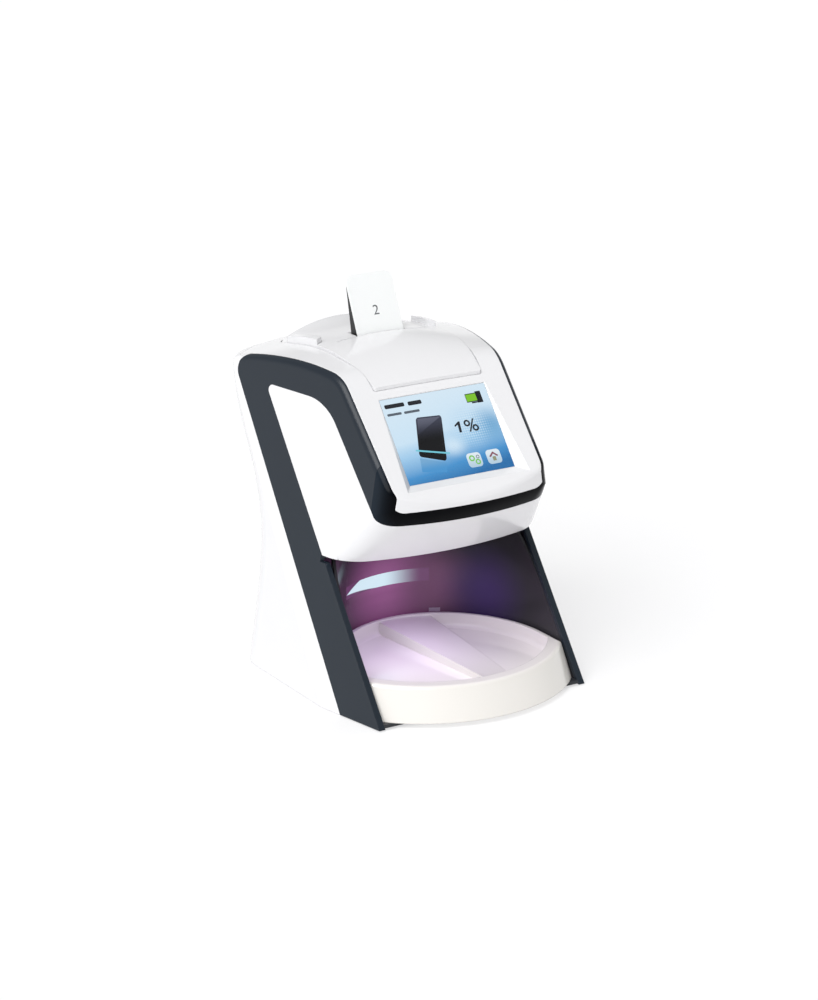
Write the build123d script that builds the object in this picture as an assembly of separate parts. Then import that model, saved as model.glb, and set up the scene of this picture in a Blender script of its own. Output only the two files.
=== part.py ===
from build123d import *
import os
from math import cos, radians, sin, sqrt, tan

# Dental phosphor plate scanner, a desk-top reader with a plate slot on top,
# a colour touch screen on its sloping face and a collecting tray in a niche below.
# Frame: +X to the object's left-to-right, +Y to the back, +Z up, millimetres.
# The origin is on the floor, under the centre of the footprint's box.

# Overall size
TRAY_FRONT_Y = -97.8
HEAD_REAR_Y = 98.0
WALL = 2.5
SHELL_FLOOR_Z = 0.8

# Side faces: a flat face on each side that widens to the rear and to the floor
SIDE_HALF = 85.3
SIDE_FLARE = 0.20
SIDE_LEAN = 0.157
# The rear body's straight sides, set in from the side faces
REAR_SET_IN = 5.3
REAR_HALF = SIDE_HALF - REAR_SET_IN
REAR_SIDE_LEAN = 0.03
REAR_CORNER_R = 22.0

# Head: sloping front face, nose, chin and domed top
BEZEL_TILT = 43.15
BEZEL_POINT = (-54.1, 137.6)
NOSE_Y = -66.0
NOSE_BOW_R = 190.0
NOSE_CORNER_R = 10.0
HEAD_FLOOR_Z = 86.5
BUMPER_STEP_Z = 121.0
# Chin under the nose: height, front in the middle and corner radius of its plan
CHIN_ROWS = (
    (HEAD_FLOOR_Z, NOSE_Y + 24.0, 24.0),
    (95.0, NOSE_Y + 16.0, 25.0),
    (104.0, NOSE_Y + 8.7, 25.0),
    (112.0, NOSE_Y + 3.2, 22.0),
    (BUMPER_STEP_Z, NOSE_Y, 11.0),
)
CHIN_SIDE_SPARE = 0.1
TOP_Z = 194.5
# Crown rows: Y, height in the middle, fall from there at CROWN_REF to either side
CROWN_REF = 60.0
SHELL_CROWN = (
    (-100.0, TOP_Z - 28.5, 0.2),
    (-30.0, TOP_Z - 10.9, 0.5),
    (-10.0, TOP_Z - 6.2, 1.1),
    (10.0, TOP_Z - 2.2, 2.9),
    (31.0, TOP_Z, 4.4),
    (55.0, TOP_Z - 1.0, 4.5),
    (80.0, TOP_Z - 4.6, 4.5),
    (105.0, TOP_Z - 10.5, 4.5),
)
BROW_R = 24.0
RIM_R = 5.0

# Rear profile: height and depth of the back face, narrow at the waist
REAR_PROFILE = (
    (0.0, 73.5),
    (24.0, 69.0),
    (48.6, 64.2),
    (72.0, 61.3),
    (92.0, 62.0),
    (117.0, 69.6),
    (146.0, 86.0),
    (166.0, 95.0),
    (TOP_Z - 12.5, HEAD_REAR_Y),
    (TOP_Z + 5.5, HEAD_REAR_Y),
)

# Dark side frame: diagonal leg, band over the head and band down its front
FRAME_LAP = 3.0
# The white shell covers the nose down to the bumper, whose top edge turns up at its ends
NOSE_SPARE = 0.6
BUMPER_TURN_R = 9.0
LEG_FOOT_Y = -76.6
LEG_FRONT_SLOPE = 0.747
LEG_REAR_FOOT_Y = -43.8
LEG_REAR_SLOPE = 0.699
LEG_INNER_X = 66.0
WINDOW_FRONT = (1.0, TOP_Z - 21.5)
WINDOW_FRONT_R = 34.0
WINDOW_CHIN = (-52.3, 113.6)
WINDOW_NOSE_Z = 111.6
WINDOW_CHIN_R = 12.0
WINDOW_REAR_R = 3.0
BAND_REAR = (84.4, TOP_Z - 11.0)
BAND_REAR_R = 9.0
BAND_TOP_SLOPE = 0.185
BUMPER_SPLIT_Y = -46.0
REAR_PARTING_Z = BAND_REAR[1]

# Screen
SCREEN_CENTRE = (-35.4, 154.0)
SCREEN_TILT = 38.86
SCREEN_WIDTH = 70.4
SCREEN_HEIGHT = 53.2
SCREEN_FLARE = 1.15
GLASS_MARGIN = 2.6
GLASS_THICKNESS = 1.2
LCD_THICKNESS = 3.2
SCREEN_TUB_MARGIN = 8.0
SCREEN_BRACKET_THICKNESS = 1.2
FIT_GAP = 0.2

# Removable lid on top
LID_FRONT_Y = -15.0
LID_FRONT_HALF = 36.0
LID_REAR_Y = 84.0
LID_REAR_HALF = 45.2
LID_REAR_R = 9.0
# Lid crown rows, in the same form as the shell's
LID_TOP_Z = TOP_Z + 3.1
LID_CROWN = (
    (-40.0, LID_TOP_Z - 35.1, 0.2),
    (-24.0, LID_TOP_Z - 23.2, 0.4),
    (-15.0, LID_TOP_Z - 16.1, 0.9),
    (0.0, LID_TOP_Z - 7.6, 2.2),
    (15.0, LID_TOP_Z - 2.5, 5.2),
    (35.0, LID_TOP_Z, 8.2),
    (60.0, LID_TOP_Z - 1.2, 9.0),
    (100.0, LID_TOP_Z - 7.6, 9.0),
)
LID_WALL = 2.0
LID_SKIRT_Z = TOP_Z - 5.0
LID_SKIRT = 1.6
LID_SKIRT_REAR_GAP = 2.0
LID_GAP = 0.4
LID_REST_GAP = 0.15
LID_BEND = (39.6, 12.0)
LID_FRONT_R = 1.6
# Raised finger tabs along its edges
TAB_FRONT = (40.4, 42.0)
TAB_REAR = (43.9, 71.0)
TAB_WIDTH = 4.2
TAB_HEIGHT = 3.2
TAB_END_SLOPE = 2.5

# Plate slot and the line that the plate travels along
SLOT_Y = 38.7
SLOT_Z = LID_TOP_Z - 0.3
PATH_LEAN = 24.5
SLIT_HALF = 30.0
SLIT_WIDTH = 1.2
SLOT_SIDE_GAP = 1.0
SLOT_FRONT_GAP = 0.9
SLOT_DEPTH = 8.8
SHELL_SLOT_HALF = 26.0
SHELL_SLOT_FRONT_Y = 24.0
SHELL_SLOT_REAR_Y = 66.0

# Imaging plate, size 2
PLATE_WIDTH = 31.0
PLATE_LENGTH = 41.0
PLATE_THICKNESS = 1.0
PLATE_CORNER_R = 5.0
PLATE_SUNK = 6.0

# Plate holder, a black wedge behind the plate
HOLDER_WIDTH = 30.0
HOLDER_TOP_U = 29.0
HOLDER_TOP_DEPTH = 1.0
HOLDER_FOOT_U = -20.0
HOLDER_HEEL_U = -14.0
HOLDER_HEEL_DEPTH = 10.7
HOLDER_LIP = 1.5
HOLDER_LIP_TOP_U = -5.0
PLATE_GAP = 0.1

# Carriage, its rods and its screw
TRAVEL = 45.0
CARRIAGE_HALF = 34.0
CARRIAGE_THICKNESS = 4.0
CARRIAGE_TOP_U = -14.0
CARRIAGE_HEIGHT = 22.0
ROD_X = 29.0
ROD_V = 18.0
ROD_R = 2.0
ROD_GAP = 0.06
SLEEVE_R = 5.0
SCREW_R = 3.0
SCREW_GAP = 0.08
NUT_R = 5.0
NUT_FLANGE_R = 8.0
NUT_FLANGE = 2.5
NUT_LENGTH = 14.0
NUT_BLOCK_HALF = 9.0
NUT_BLOCK_REAR_V = 25.0

# Scan frame, a folded sheet that carries the rods
SHEET = 2.0
SCAN_FRAME_HALF = 38.0
SCAN_BACK_V = 27.0
SCAN_TOP_U = -6.0
SCAN_FLANGE_FRONT_V = 12.5
SCAN_LOW_GAP = 2.0
SCAN_FOOT_FRONT_Y = 4.0
SCAN_FOOT_WIDTH = 8.0
MOTOR_R = 10.0
MOTOR_LENGTH = 15.0
MOTOR_FLANGE_R = 13.0
MOTOR_FLANGE = 1.2

# Inner frame: upright behind the niche and deck over it
DECK = 2.5
DECK_HALF = 46.0
DECK_FRONT_Y = -38.0
HATCH_HALF = 26.0
HATCH_FRONT_Y = -22.0
HATCH_REAR_Y = 0.0
UPRIGHT_Y = 37.0
UPRIGHT_HALF = 44.0
UPRIGHT_FOOT = 12.0

# Optics
BENCH_V = -22.0
BENCH_HALF = 30.0
BENCH_TOP_U = -30.0
BENCH_FOOT = 8.0
CHEEK = 2.0
PMT_R = 6.5
PMT_LENGTH = 44.0
PMT_V = -12.5
PMT_U = -27.0
GUIDE_BACK_V = -3.2
GUIDE_TOP_U = -21.0
GUIDE_LOW_U = -34.0
LASER_R = 4.5
LASER_LENGTH = 18.0
LASER_START_X = 13.0
OPTICS_U = -70.0
OPTICS_V = -12.0
POLYGON_R = 7.0
POLYGON_THICKNESS = 4.0
POLYGON_SIDES = 8
POLYGON_SHAFT_R = 1.5
POLYGON_MOTOR_R = 8.0
POLYGON_MOTOR_LENGTH = 6.0
ERASE_HALF = 22.0
ERASE_V = -8.0
ERASE_TOP_U = -88.0
ERASE_HEIGHT = 20.0
ERASE_POST_X = 18.0
BOARD = 1.6

# Niche and its liner
LINER_WALL = 1.6
NICHE_CENTRE_Y = -40.4
NICHE_DEPTH = 72.0
NICHE_FLOOR_Z = 3.0
LINER_ROOF = 2.0
LINER_ROOF_FRONT_Y = -24.0

# Light strip in the niche's back wall
STRIP_LOW_Z = 42.0
STRIP_HEIGHT = 8.0
STRIP_HALF = 30.0
STRIP_CENTRE_X = -4.0
# Small grey window in the back wall
SENSOR_X = (26.0, 32.0)
SENSOR_Z = (22.0, 24.5)

# Eject flap in the niche's roof
FLAP_HALF = 21.0
FLAP_FRONT_Y = -19.0
FLAP_REAR_Y = -4.0
FLAP_THICKNESS = 1.5
FLAP_GAP = 0.5
FLAP_AXIS = (-5.6, 88.9)
FLAP_PIN_R = 1.0
FLAP_PIN_LENGTH = 3.0
FLAP_KNUCKLE_R = 2.1
PIN_GAP = 0.06

# Collecting tray
TRAY_BASE_GAP = 0.1
TRAY_RIM_Z = 22.7
TRAY_ARC_Y = -8.9
TRAY_BASE_R = TRAY_ARC_Y - TRAY_FRONT_Y
TRAY_TOP_R = 81.2
TRAY_SIDE_GAP = 0.6
TRAY_REAR_GAP = 0.9
TRAY_RIM_FRONT = 7.5
TRAY_RIM_REAR = 4.0
TRAY_DISH_DEPTH = 8.5
TRAY_DISH_R = 3.0
TRAY_RIM_R = 2.5
TRAY_WALL = 2.2
# Ramp across the dish: Y of each end, then X and Z of its left edge and of its right edge
RAMP_ENDS = (
    (30.0, (-9.3, 22.05), (24.6, 21.7)),
    (-84.0, (2.4, 17.5), (22.9, 12.6)),
)

# Base and feet
BASE_BOTTOM_Z = 1.5
BASE_THICKNESS = 1.5
FOOT_R = 7.0
FOOT_PEG_R = 3.0
FOOT_PLACES = ((-62.0, -48.0), (62.0, -48.0), (-60.0, 50.0), (60.0, 50.0))

# Rear panel with the sockets and the rocker switch
PANEL_Y = 58.0
PANEL_THICKNESS = 1.5
PANEL_HALF = 52.0
PANEL_TOP_Z = 50.0
WINDOW_IO_HALF = 48.0
WINDOW_IO_LOW_Z = 10.0
WINDOW_IO_HIGH_Z = 42.0
SOCKET_LOW_Z = 14.0
NETWORK_X = -30.0
NETWORK_SIZE = (16.0, 14.0)
NETWORK_HOLE = (12.0, 8.5)
POWER_X = 0.0
POWER_SIZE = (11.0, 11.0)
POWER_HOLE_R = 3.2
POWER_PIN_R = 1.0
SOCKET_HOLE_DEPTH = 8.0
SOCKET_PROUD = 1.0
SWITCH_X = 30.0
SWITCH_Z = 27.0
SWITCH_SIZE = (15.0, 21.0)
SWITCH_WALL = 1.5
SWITCH_DEPTH = 12.0
ROCKER_AXIS_Y = 56.0
ROCKER_GAP = 0.3
ROCKER_TILT = 7.0
ROCKER_PIN_R = 1.0

# Main board behind the niche
BOARD_HALF = 42.0
BOARD_LOW_Z = 8.0
BOARD_HIGH_Z = 82.0
BOARD_STANDOFF = 5.0
POST_R = 2.5

# Screws
SCREW_SHANK_R = 1.25
SCREW_HEAD_R = 2.6
SCREW_HEAD = 1.6

BIG = 260.0
SIDES = (-1, 1)


# Helpers that several pieces share

def yz_sketch(points, x, rounded=()):
    """A polygon in the side view at one X; rounded lists (point, radius) of its corners."""
    face = Plane.YZ.offset(x) * make_face(Polyline(*points, close=True))
    for point, radius in rounded:
        target = Vector(x, *point)
        corner = min(face.vertices(), key=lambda v: (Vector(*v) - target).length)
        face = fillet(corner, radius)
    return face


def yz_prism(points, x_low, x_high, rounded=()):
    return extrude(yz_sketch(points, x_low, rounded), amount=x_high - x_low)


def box_between(low, high):
    size = [b - a for a, b in zip(low, high)]
    middle = [(a + b) / 2 for a, b in zip(low, high)]
    return Pos(*middle) * Box(*size)


def side_plane(side, inset):
    normal = Vector(side, -SIDE_FLARE, SIDE_LEAN).normalized()
    return Plane(origin=Vector(side * SIDE_HALF, 0, 0) - normal * inset, z_dir=normal)


def side_half(y, z):
    return SIDE_HALF + SIDE_FLARE * y - SIDE_LEAN * z


def inside_sides(shape, inset):
    for side in SIDES:
        shape = split(shape, side_plane(side, inset), Keep.BOTTOM)
    return shape


def bezel_y(z):
    return BEZEL_POINT[0] + (z - BEZEL_POINT[1]) * tan(radians(BEZEL_TILT))


def bezel_z(y):
    return BEZEL_POINT[1] + (y - BEZEL_POINT[0]) / tan(radians(BEZEL_TILT))


def leg_front_y(z):
    return LEG_FOOT_Y + LEG_FRONT_SLOPE * z


def leg_rear_y(z):
    return LEG_REAR_FOOT_Y + LEG_REAR_SLOPE * z


def rear_y(z):
    """Depth of the back face at a height, straight between the listed heights."""
    for (z_low, y_low), (z_high, y_high) in zip(REAR_PROFILE, REAR_PROFILE[1:]):
        if z_low <= z <= z_high:
            return y_low + (y_high - y_low) * (z - z_low) / (z_high - z_low)
    return REAR_PROFILE[-1][1]


def crown_block(rows, drop):
    """A block whose top is a smooth crown; rows list Y, height in the middle, fall at REF."""
    sections = []
    reach = 95.0
    for y, middle, fall in rows:
        top = middle - drop
        edge = top - fall * (reach / CROWN_REF) ** 2
        arc = ThreePointArc((-reach, edge), (0, top), (reach, edge))
        run = Polyline((reach, edge), (reach, -40), (-reach, -40), (-reach, edge))
        sections.append(Plane.XZ.offset(-y) * make_face([arc, *run.edges()]))
    return loft(sections)


def front_profile(inset):
    """Side view of everything forward of the back face, set in by the wall."""
    high = TOP_Z + 15.0
    far = BIG / 2
    run = Polyline(
        (NOSE_Y - 1, HEAD_FLOOR_Z),
        (leg_front_y(HEAD_FLOOR_Z), HEAD_FLOOR_Z),
        (leg_front_y(-20.0), -20.0),
        (far, -20.0),
        (far, high),
        (bezel_y(high), high),
        (NOSE_Y - 1, bezel_z(NOSE_Y - 1)),
        close=True,
    )
    face = make_face(run)
    if inset > 0:
        face = offset(face, amount=-inset, kind=Kind.INTERSECTION)
    return Plane.YZ.offset(-BIG / 2.5) * face


def bowed_plan(front_y, radius, z):
    """A plan at a height whose front edge is bowed forward."""
    half = 90.0
    side_y = front_y + radius - sqrt(radius ** 2 - half ** 2)
    bow = ThreePointArc((-half, side_y), (0, front_y), (half, side_y))
    run = Polyline((half, side_y), (half, BIG / 2), (-half, BIG / 2), (-half, side_y))
    return Plane.XY.offset(z) * make_face([bow, *run.edges()])


def chin_plan(z, front_y, corner, inset):
    """A plan of the head at a height: bowed front, round corners, sides along the side planes."""
    slant = sqrt(1 + SIDE_FLARE ** 2)
    across = (1 / slant, -SIDE_FLARE / slant)
    along = (SIDE_FLARE / slant, 1 / slant)
    steep = sqrt(1 + SIDE_FLARE ** 2 + SIDE_LEAN ** 2)
    reach = (SIDE_HALF - SIDE_LEAN * z - inset * steep) / slant + CHIN_SIDE_SPARE
    radius = NOSE_BOW_R - inset
    corner = corner - inset
    bow_y = front_y + inset + radius
    # The corner's centre lies a radius inside the side line and inside the bow
    start = ((reach - corner) * across[0], (reach - corner) * across[1] - bow_y)
    half_b = start[0] * along[0] + start[1] * along[1]
    rest = start[0] ** 2 + start[1] ** 2 - (radius - corner) ** 2
    run = -half_b - sqrt(half_b ** 2 - rest)
    centre = (start[0] + run * along[0], start[1] + bow_y + run * along[1])
    side_end = (centre[0] + corner * across[0], centre[1] + corner * across[1])
    out = (centre[0] / (radius - corner), (centre[1] - bow_y) / (radius - corner))
    bow_end = (centre[0] + corner * out[0], centre[1] + corner * out[1])
    half_way = (out[0] + across[0], out[1] + across[1])
    size = sqrt(half_way[0] ** 2 + half_way[1] ** 2)
    corner_middle = (centre[0] + corner * half_way[0] / size, centre[1] + corner * half_way[1] / size)
    far = (side_end[0] + 90.0 * along[0], side_end[1] + 90.0 * along[1])
    front = ThreePointArc((-bow_end[0], bow_end[1]), (0, bow_y - radius), bow_end)
    right = ThreePointArc(bow_end, corner_middle, side_end)
    left = ThreePointArc(
        (-side_end[0], side_end[1]), (-corner_middle[0], corner_middle[1]), (-bow_end[0], bow_end[1])
    )
    sides = [Line(side_end, far), Line(far, (-far[0], far[1])), Line((-far[0], far[1]), (-side_end[0], side_end[1]))]
    return Plane.XY.offset(z) * make_face([front, right, *sides, left])


def chin_cut(inset):
    """What is cut away round the head's taper, from its floor up to the bumper's top edge."""
    low, high = HEAD_FLOOR_Z + inset, BUMPER_STEP_Z
    taper = loft([chin_plan(z, front_y, corner, inset) for z, front_y, corner in CHIN_ROWS])
    return box_between((-BIG, -BIG, HEAD_FLOOR_Z - 4), (BIG, NOSE_Y + 55, high)) - taper


def rear_tower(inset):
    """The upright body whose back is the rear profile, with round rear corners."""
    sections = []
    radius = REAR_CORNER_R - inset
    reach = radius * cos(radians(45))
    for z, depth in REAR_PROFILE:
        half = REAR_HALF - REAR_SIDE_LEAN * z - inset
        back = depth - inset
        left = ThreePointArc(
            (-half, back - radius),
            (-half + radius - reach, back - radius + reach),
            (-half + radius, back),
        )
        right = ThreePointArc(
            (half - radius, back),
            (half - radius + reach, back - radius + reach),
            (half, back - radius),
        )
        top = Line((-half + radius, back), (half - radius, back))
        rest = Polyline((half, back - radius), (half, -BIG / 2), (-half, -BIG / 2), (-half, back - radius))
        sections.append(Plane.XY.offset(z) * make_face([left, top, right, *rest.edges()]))
    return loft(sections)


def is_brow(edge):
    """The long edge across the head where the domed top meets the sloping face."""
    middle = edge @ 0.5
    return middle.Z > TOP_Z - 30 and middle.Y < 25 and edge.length > BIG / 2


def is_nose_corner(edge):
    """The upright edge on either side of the nose."""
    a = edge @ 0
    b = edge @ 1
    return a.X * b.X > 0 and max(a.Y, b.Y) < BEZEL_POINT[0] + 6 and abs(a.Z - b.Z) > 20


def envelope(inset):
    """The whole outer form of head, legs and rear body, set in from its skin."""
    body = extrude(front_profile(inset), amount=2 * BIG / 2.5) & crown_block(SHELL_CROWN, inset)
    bow = extrude(bowed_plan(NOSE_Y + inset, NOSE_BOW_R - inset, 0.0), amount=BIG)
    body = body - (box_between((-BIG, -BIG, HEAD_FLOOR_Z - 4), (BIG, NOSE_Y + 22, BIG)) - bow)
    body = fillet(body.edges().filter_by(is_brow), BROW_R - inset)
    body = inside_sides(body, inset)
    body = body & rear_tower(inset)
    return fillet(body.edges().filter_by(is_nose_corner), NOSE_CORNER_R - inset)


def low_room(z_low, z_high):
    """The room below the head between two heights, inside the walls."""
    block = extrude(front_profile(WALL), amount=2 * BIG / 2.5)
    block = block & box_between((-BIG, -BIG, z_low), (BIG, BIG, z_high))
    return inside_sides(block, WALL) & rear_tower(WALL)


def is_top_rim(edge):
    """A stretch of the head's rim: along the side frames, round the back, over the nose."""
    a, middle, b = edge @ 0, edge @ 0.5, edge @ 1
    on_side = abs(abs(middle.X) - side_half(middle.Y, middle.Z)) < 1.0
    runs_back = abs(a.Y - b.Y) > 0.7 * abs(a.Z - b.Z) and middle.Z > BUMPER_STEP_Z - 1
    on_back = middle.Y > HEAD_REAR_Y - REAR_CORNER_R and middle.Z > TOP_Z - 22
    on_nose = middle.Y < BEZEL_POINT[0] and middle.Z > BUMPER_STEP_Z + 1 and middle.Z < BEZEL_POINT[1]
    return on_side and runs_back or on_back or on_nose and abs(a.Z - b.Z) < 13.0 * (abs(a.Y - b.Y) > 1) + 0.1


def core():
    """Upright block that the white top shell fills; the dark frames lap round it."""
    block = box_between((-BIG / 2, -BIG / 2, BUMPER_STEP_Z), (BIG / 2, BIG / 2, TOP_Z + 10))
    block = block & extrude(bowed_plan(NOSE_Y - NOSE_SPARE, NOSE_BOW_R + NOSE_SPARE, 0.0), amount=BIG)
    block = inside_sides(block, FRAME_LAP)
    front = block.faces().sort_by(Axis.Y)[0]
    corners = [e for e in front.edges() if abs((e @ 0).Z - (e @ 1).Z) > 20]
    block = fillet(corners, NOSE_CORNER_R - FRAME_LAP)
    turn_x = side_half(NOSE_Y + NOSE_CORNER_R, BUMPER_STEP_Z) - FRAME_LAP - BUMPER_TURN_R
    turn_z = BUMPER_STEP_Z + BUMPER_TURN_R
    turn_back_y = NOSE_Y + 1.6 * NOSE_CORNER_R
    turn = box_between((turn_x, -BIG, BUMPER_STEP_Z - 1), (BIG, turn_back_y, turn_z))
    turn = turn - y_rod(turn_x, turn_z, -BIG - 1, turn_back_y + 1, BUMPER_TURN_R)
    return block - turn - mirror(turn, Plane.YZ)


PATH = Plane(
    origin=(0, SLOT_Y, SLOT_Z),
    x_dir=(1, 0, 0),
    z_dir=(0, -cos(radians(PATH_LEAN)), sin(radians(PATH_LEAN))),
)
SCREEN = Plane(
    origin=(0, *SCREEN_CENTRE),
    x_dir=(1, 0, 0),
    z_dir=(0, -cos(radians(SCREEN_TILT)), sin(radians(SCREEN_TILT))),
)


def path_box(x_low, x_high, v_low, v_high, u_low, u_high):
    """A box set to the plate's line: v is behind the plate's face, u is up along it."""
    size = Box(x_high - x_low, u_high - u_low, v_high - v_low)
    return PATH * Pos((x_low + x_high) / 2, (u_low + u_high) / 2, -(v_low + v_high) / 2) * size


def path_rod(x, v, u_low, u_high, radius):
    """A round bar along the plate's line."""
    bar = Cylinder(radius, u_high - u_low)
    return PATH * Pos(x, (u_low + u_high) / 2, -v) * Rot(90, 0, 0) * bar


def path_point(x, v, u):
    lean = radians(PATH_LEAN)
    y = SLOT_Y + v * cos(lean) + u * sin(lean)
    z = SLOT_Z - v * sin(lean) + u * cos(lean)
    return Vector(x, y, z)


def screen_box(half_x, half_y, low, high):
    return SCREEN * Pos(0, 0, (low + high) / 2) * Box(2 * half_x, 2 * half_y, high - low)


def y_rod(x, z, y_low, y_high, radius):
    return Pos(x, (y_low + y_high) / 2, z) * Rot(90, 0, 0) * Cylinder(radius, y_high - y_low)


def x_rod(y, z, x_low, x_high, radius):
    return Pos((x_low + x_high) / 2, y, z) * Rot(0, 90, 0) * Cylinder(radius, x_high - x_low)


def z_rod(x, y, z_low, z_high, radius):
    return Pos(x, y, (z_low + z_high) / 2) * Cylinder(radius, z_high - z_low)


def niche_outline(grow):
    """Plan of the niche: straight sides, then half an ellipse round the back."""
    half = LEG_INNER_X + grow
    depth = NICHE_DEPTH + grow
    ellipse = Pos(0, NICHE_CENTRE_Y) * Ellipse(half, depth)
    rear = ellipse & Pos(0, NICHE_CENTRE_Y + BIG / 2) * Rectangle(BIG, BIG)
    return rear + Pos(0, NICHE_CENTRE_Y - BIG / 4) * Rectangle(2 * half, BIG / 2)


def niche_block(grow, z_low, z_high):
    return extrude(Pos(0, 0, z_low) * niche_outline(grow), amount=z_high - z_low)


def lid_outline(grow):
    half = [
        (LID_FRONT_HALF, LID_FRONT_Y),
        LID_BEND,
        TAB_FRONT,
        TAB_REAR,
        (LID_REAR_HALF, LID_REAR_Y),
    ]
    face = make_face(Polyline(*half, *[(-x, y) for x, y in reversed(half)], close=True))
    corners = [v for v in face.vertices() if v.Y > LID_REAR_Y - 1]
    face = fillet(corners, LID_REAR_R)
    front = [v for v in face.vertices() if v.Y < LID_FRONT_Y + 1]
    face = fillet(front, LID_FRONT_R)
    return offset(face, amount=grow) if grow else face


def save(shape, name):
    export_step(shape, "parts/" + name + ".step")


os.makedirs("parts", exist_ok=True)

# The outer skin and the room inside it, which all the shells are cut from

OUTER = envelope(0.0)
OUTER = fillet(OUTER.edges().filter_by(is_top_rim), RIM_R)
OUTER = OUTER - box_between((-BIG, -BIG, -1), (BIG, BIG, SHELL_FLOOR_Z)) - chin_cut(0.0)
INNER = envelope(WALL) - chin_cut(WALL)


def largest(shape):
    return shape.solids().sort_by(SortBy.VOLUME)[-1]



FRAME_BLOCK = yz_prism(
    [
        (leg_rear_y(-5.0), -5.0),
        BAND_REAR,
        (BAND_REAR[0] - 100, BAND_REAR[1] + 100 * BAND_TOP_SLOPE),
        (-120.0, 210.0),
        (-120.0, -5.0),
    ],
    -BIG / 2,
    BIG / 2,
    [(BAND_REAR, BAND_REAR_R)],
)
WINDOW_REAR = (leg_front_y(WINDOW_FRONT[1]), WINDOW_FRONT[1])
WINDOW_BLOCK = yz_prism(
    [
        (-90.0, WINDOW_NOSE_Z),
        (NOSE_Y, WINDOW_NOSE_Z),
        WINDOW_CHIN,
        WINDOW_FRONT,
        WINDOW_REAR,
        (leg_front_y(70.0), 70.0),
        (-90.0, 70.0),
    ],
    -BIG / 2,
    BIG / 2,
    [(WINDOW_CHIN, WINDOW_CHIN_R), (WINDOW_FRONT, WINDOW_FRONT_R), (WINDOW_REAR, WINDOW_REAR_R)],
)
DARK_BLOCK = FRAME_BLOCK - core()
DECK_LOW_Z = HEAD_FLOOR_Z + WALL
DECK_TOP_Z = DECK_LOW_Z + DECK
LINER_TOP_Z = HEAD_FLOOR_Z + LINER_ROOF
BASE_TOP_Z = BASE_BOTTOM_Z + BASE_THICKNESS

# Dark side frames and the dark bumper across the nose

DARK = (OUTER & DARK_BLOCK) - WINDOW_BLOCK - INNER - low_room(0, HEAD_FLOOR_Z)
DARK = DARK - box_between((-LEG_INNER_X, -BIG, -1), (LEG_INNER_X, 60, HEAD_FLOOR_Z + 6))
BUMPER_BOX = box_between((-BIG, -BIG, HEAD_FLOOR_Z), (BIG, BUMPER_SPLIT_Y, TOP_Z))
front_bumper = DARK & BUMPER_BOX
side_frames = DARK - BUMPER_BOX
side_frame_left = side_frames & box_between((-BIG, -BIG, -1), (-20, BIG, BIG))
side_frame_right = side_frames & box_between((20, -BIG, -1), (BIG, BIG, BIG))
save(front_bumper, "front_bumper")
save(side_frame_left, "side_frame_left")
save(side_frame_right, "side_frame_right")

# White underbody: side windows, chin and floor of the head

NICHE_ROOM = niche_block(LINER_WALL, -1, DECK_LOW_Z)
NICHE_ROOF_CUT = NICHE_ROOM & box_between((-BIG, LINER_ROOF_FRONT_Y, -1), (BIG, BIG, DECK_LOW_Z))
underbody = largest((OUTER & WINDOW_BLOCK) - INNER - NICHE_ROOF_CUT)
save(underbody, "underbody")

# White rear shell with the window for the sockets

rear_low = box_between((-BIG, -BIG, -1), (BIG, BIG, REAR_PARTING_Z))
rear_room = inside_sides(crown_block(SHELL_CROWN, WALL), WALL) & rear_tower(WALL)
rear_shell = ((OUTER - FRAME_BLOCK) & rear_low) - rear_room
rear_shell = rear_shell - box_between(
    (-WINDOW_IO_HALF, PANEL_Y - 3, WINDOW_IO_LOW_Z), (WINDOW_IO_HALF, BIG, WINDOW_IO_HIGH_Z)
)
save(rear_shell, "rear_shell")

# White top shell: sloping bezel, screen well and domed top with the lid's shallow bed

top_block = yz_prism(
    [
        (-100, BUMPER_STEP_Z),
        (HEAD_REAR_Y - 45, BUMPER_STEP_Z),
        (HEAD_REAR_Y - 45, REAR_PARTING_Z),
        (BIG / 2, REAR_PARTING_Z),
        (BIG / 2, TOP_Z + 10),
        (-100, TOP_Z + 10),
    ],
    -BIG / 2,
    BIG / 2,
)
well_half_x = SCREEN_WIDTH / 2 + SCREEN_TUB_MARGIN
well_half_y = SCREEN_HEIGHT / 2 + SCREEN_TUB_MARGIN
glass_half_x = SCREEN_WIDTH / 2 + GLASS_MARGIN
glass_half_y = SCREEN_HEIGHT / 2 + GLASS_MARGIN
WELL_LOW = -GLASS_THICKNESS - 2.0
well = screen_box(well_half_x, well_half_y, WELL_LOW, 8.0) & OUTER
flare_height = 8.0
opening = loft(
    [
        SCREEN * Rectangle(SCREEN_WIDTH, SCREEN_HEIGHT),
        SCREEN
        * Pos(0, 0, flare_height)
        * Rectangle(
            SCREEN_WIDTH + 2 * flare_height * SCREEN_FLARE,
            SCREEN_HEIGHT + 2 * flare_height * SCREEN_FLARE,
        ),
    ]
)
glass_pocket = screen_box(glass_half_x + FIT_GAP, glass_half_y + FIT_GAP, -20.0, 0.0)
lid_under = crown_block(LID_CROWN, LID_WALL + LID_REST_GAP)
lid_bed = extrude(Pos(0, 0, 150) * lid_outline(LID_GAP), amount=60) - lid_under
plate_opening = box_between(
    (-SHELL_SLOT_HALF, SHELL_SLOT_FRONT_Y, TOP_Z - 15), (SHELL_SLOT_HALF, SHELL_SLOT_REAR_Y, TOP_Z + 10)
)
top_shell = largest((OUTER & top_block) - DARK_BLOCK - INNER) + well
top_shell = top_shell - opening - glass_pocket - lid_bed - plate_opening
save(top_shell, "top_shell")

# Lid: a domed cover with finger tabs, a slot for the plate and a skirt that finds the opening

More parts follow.
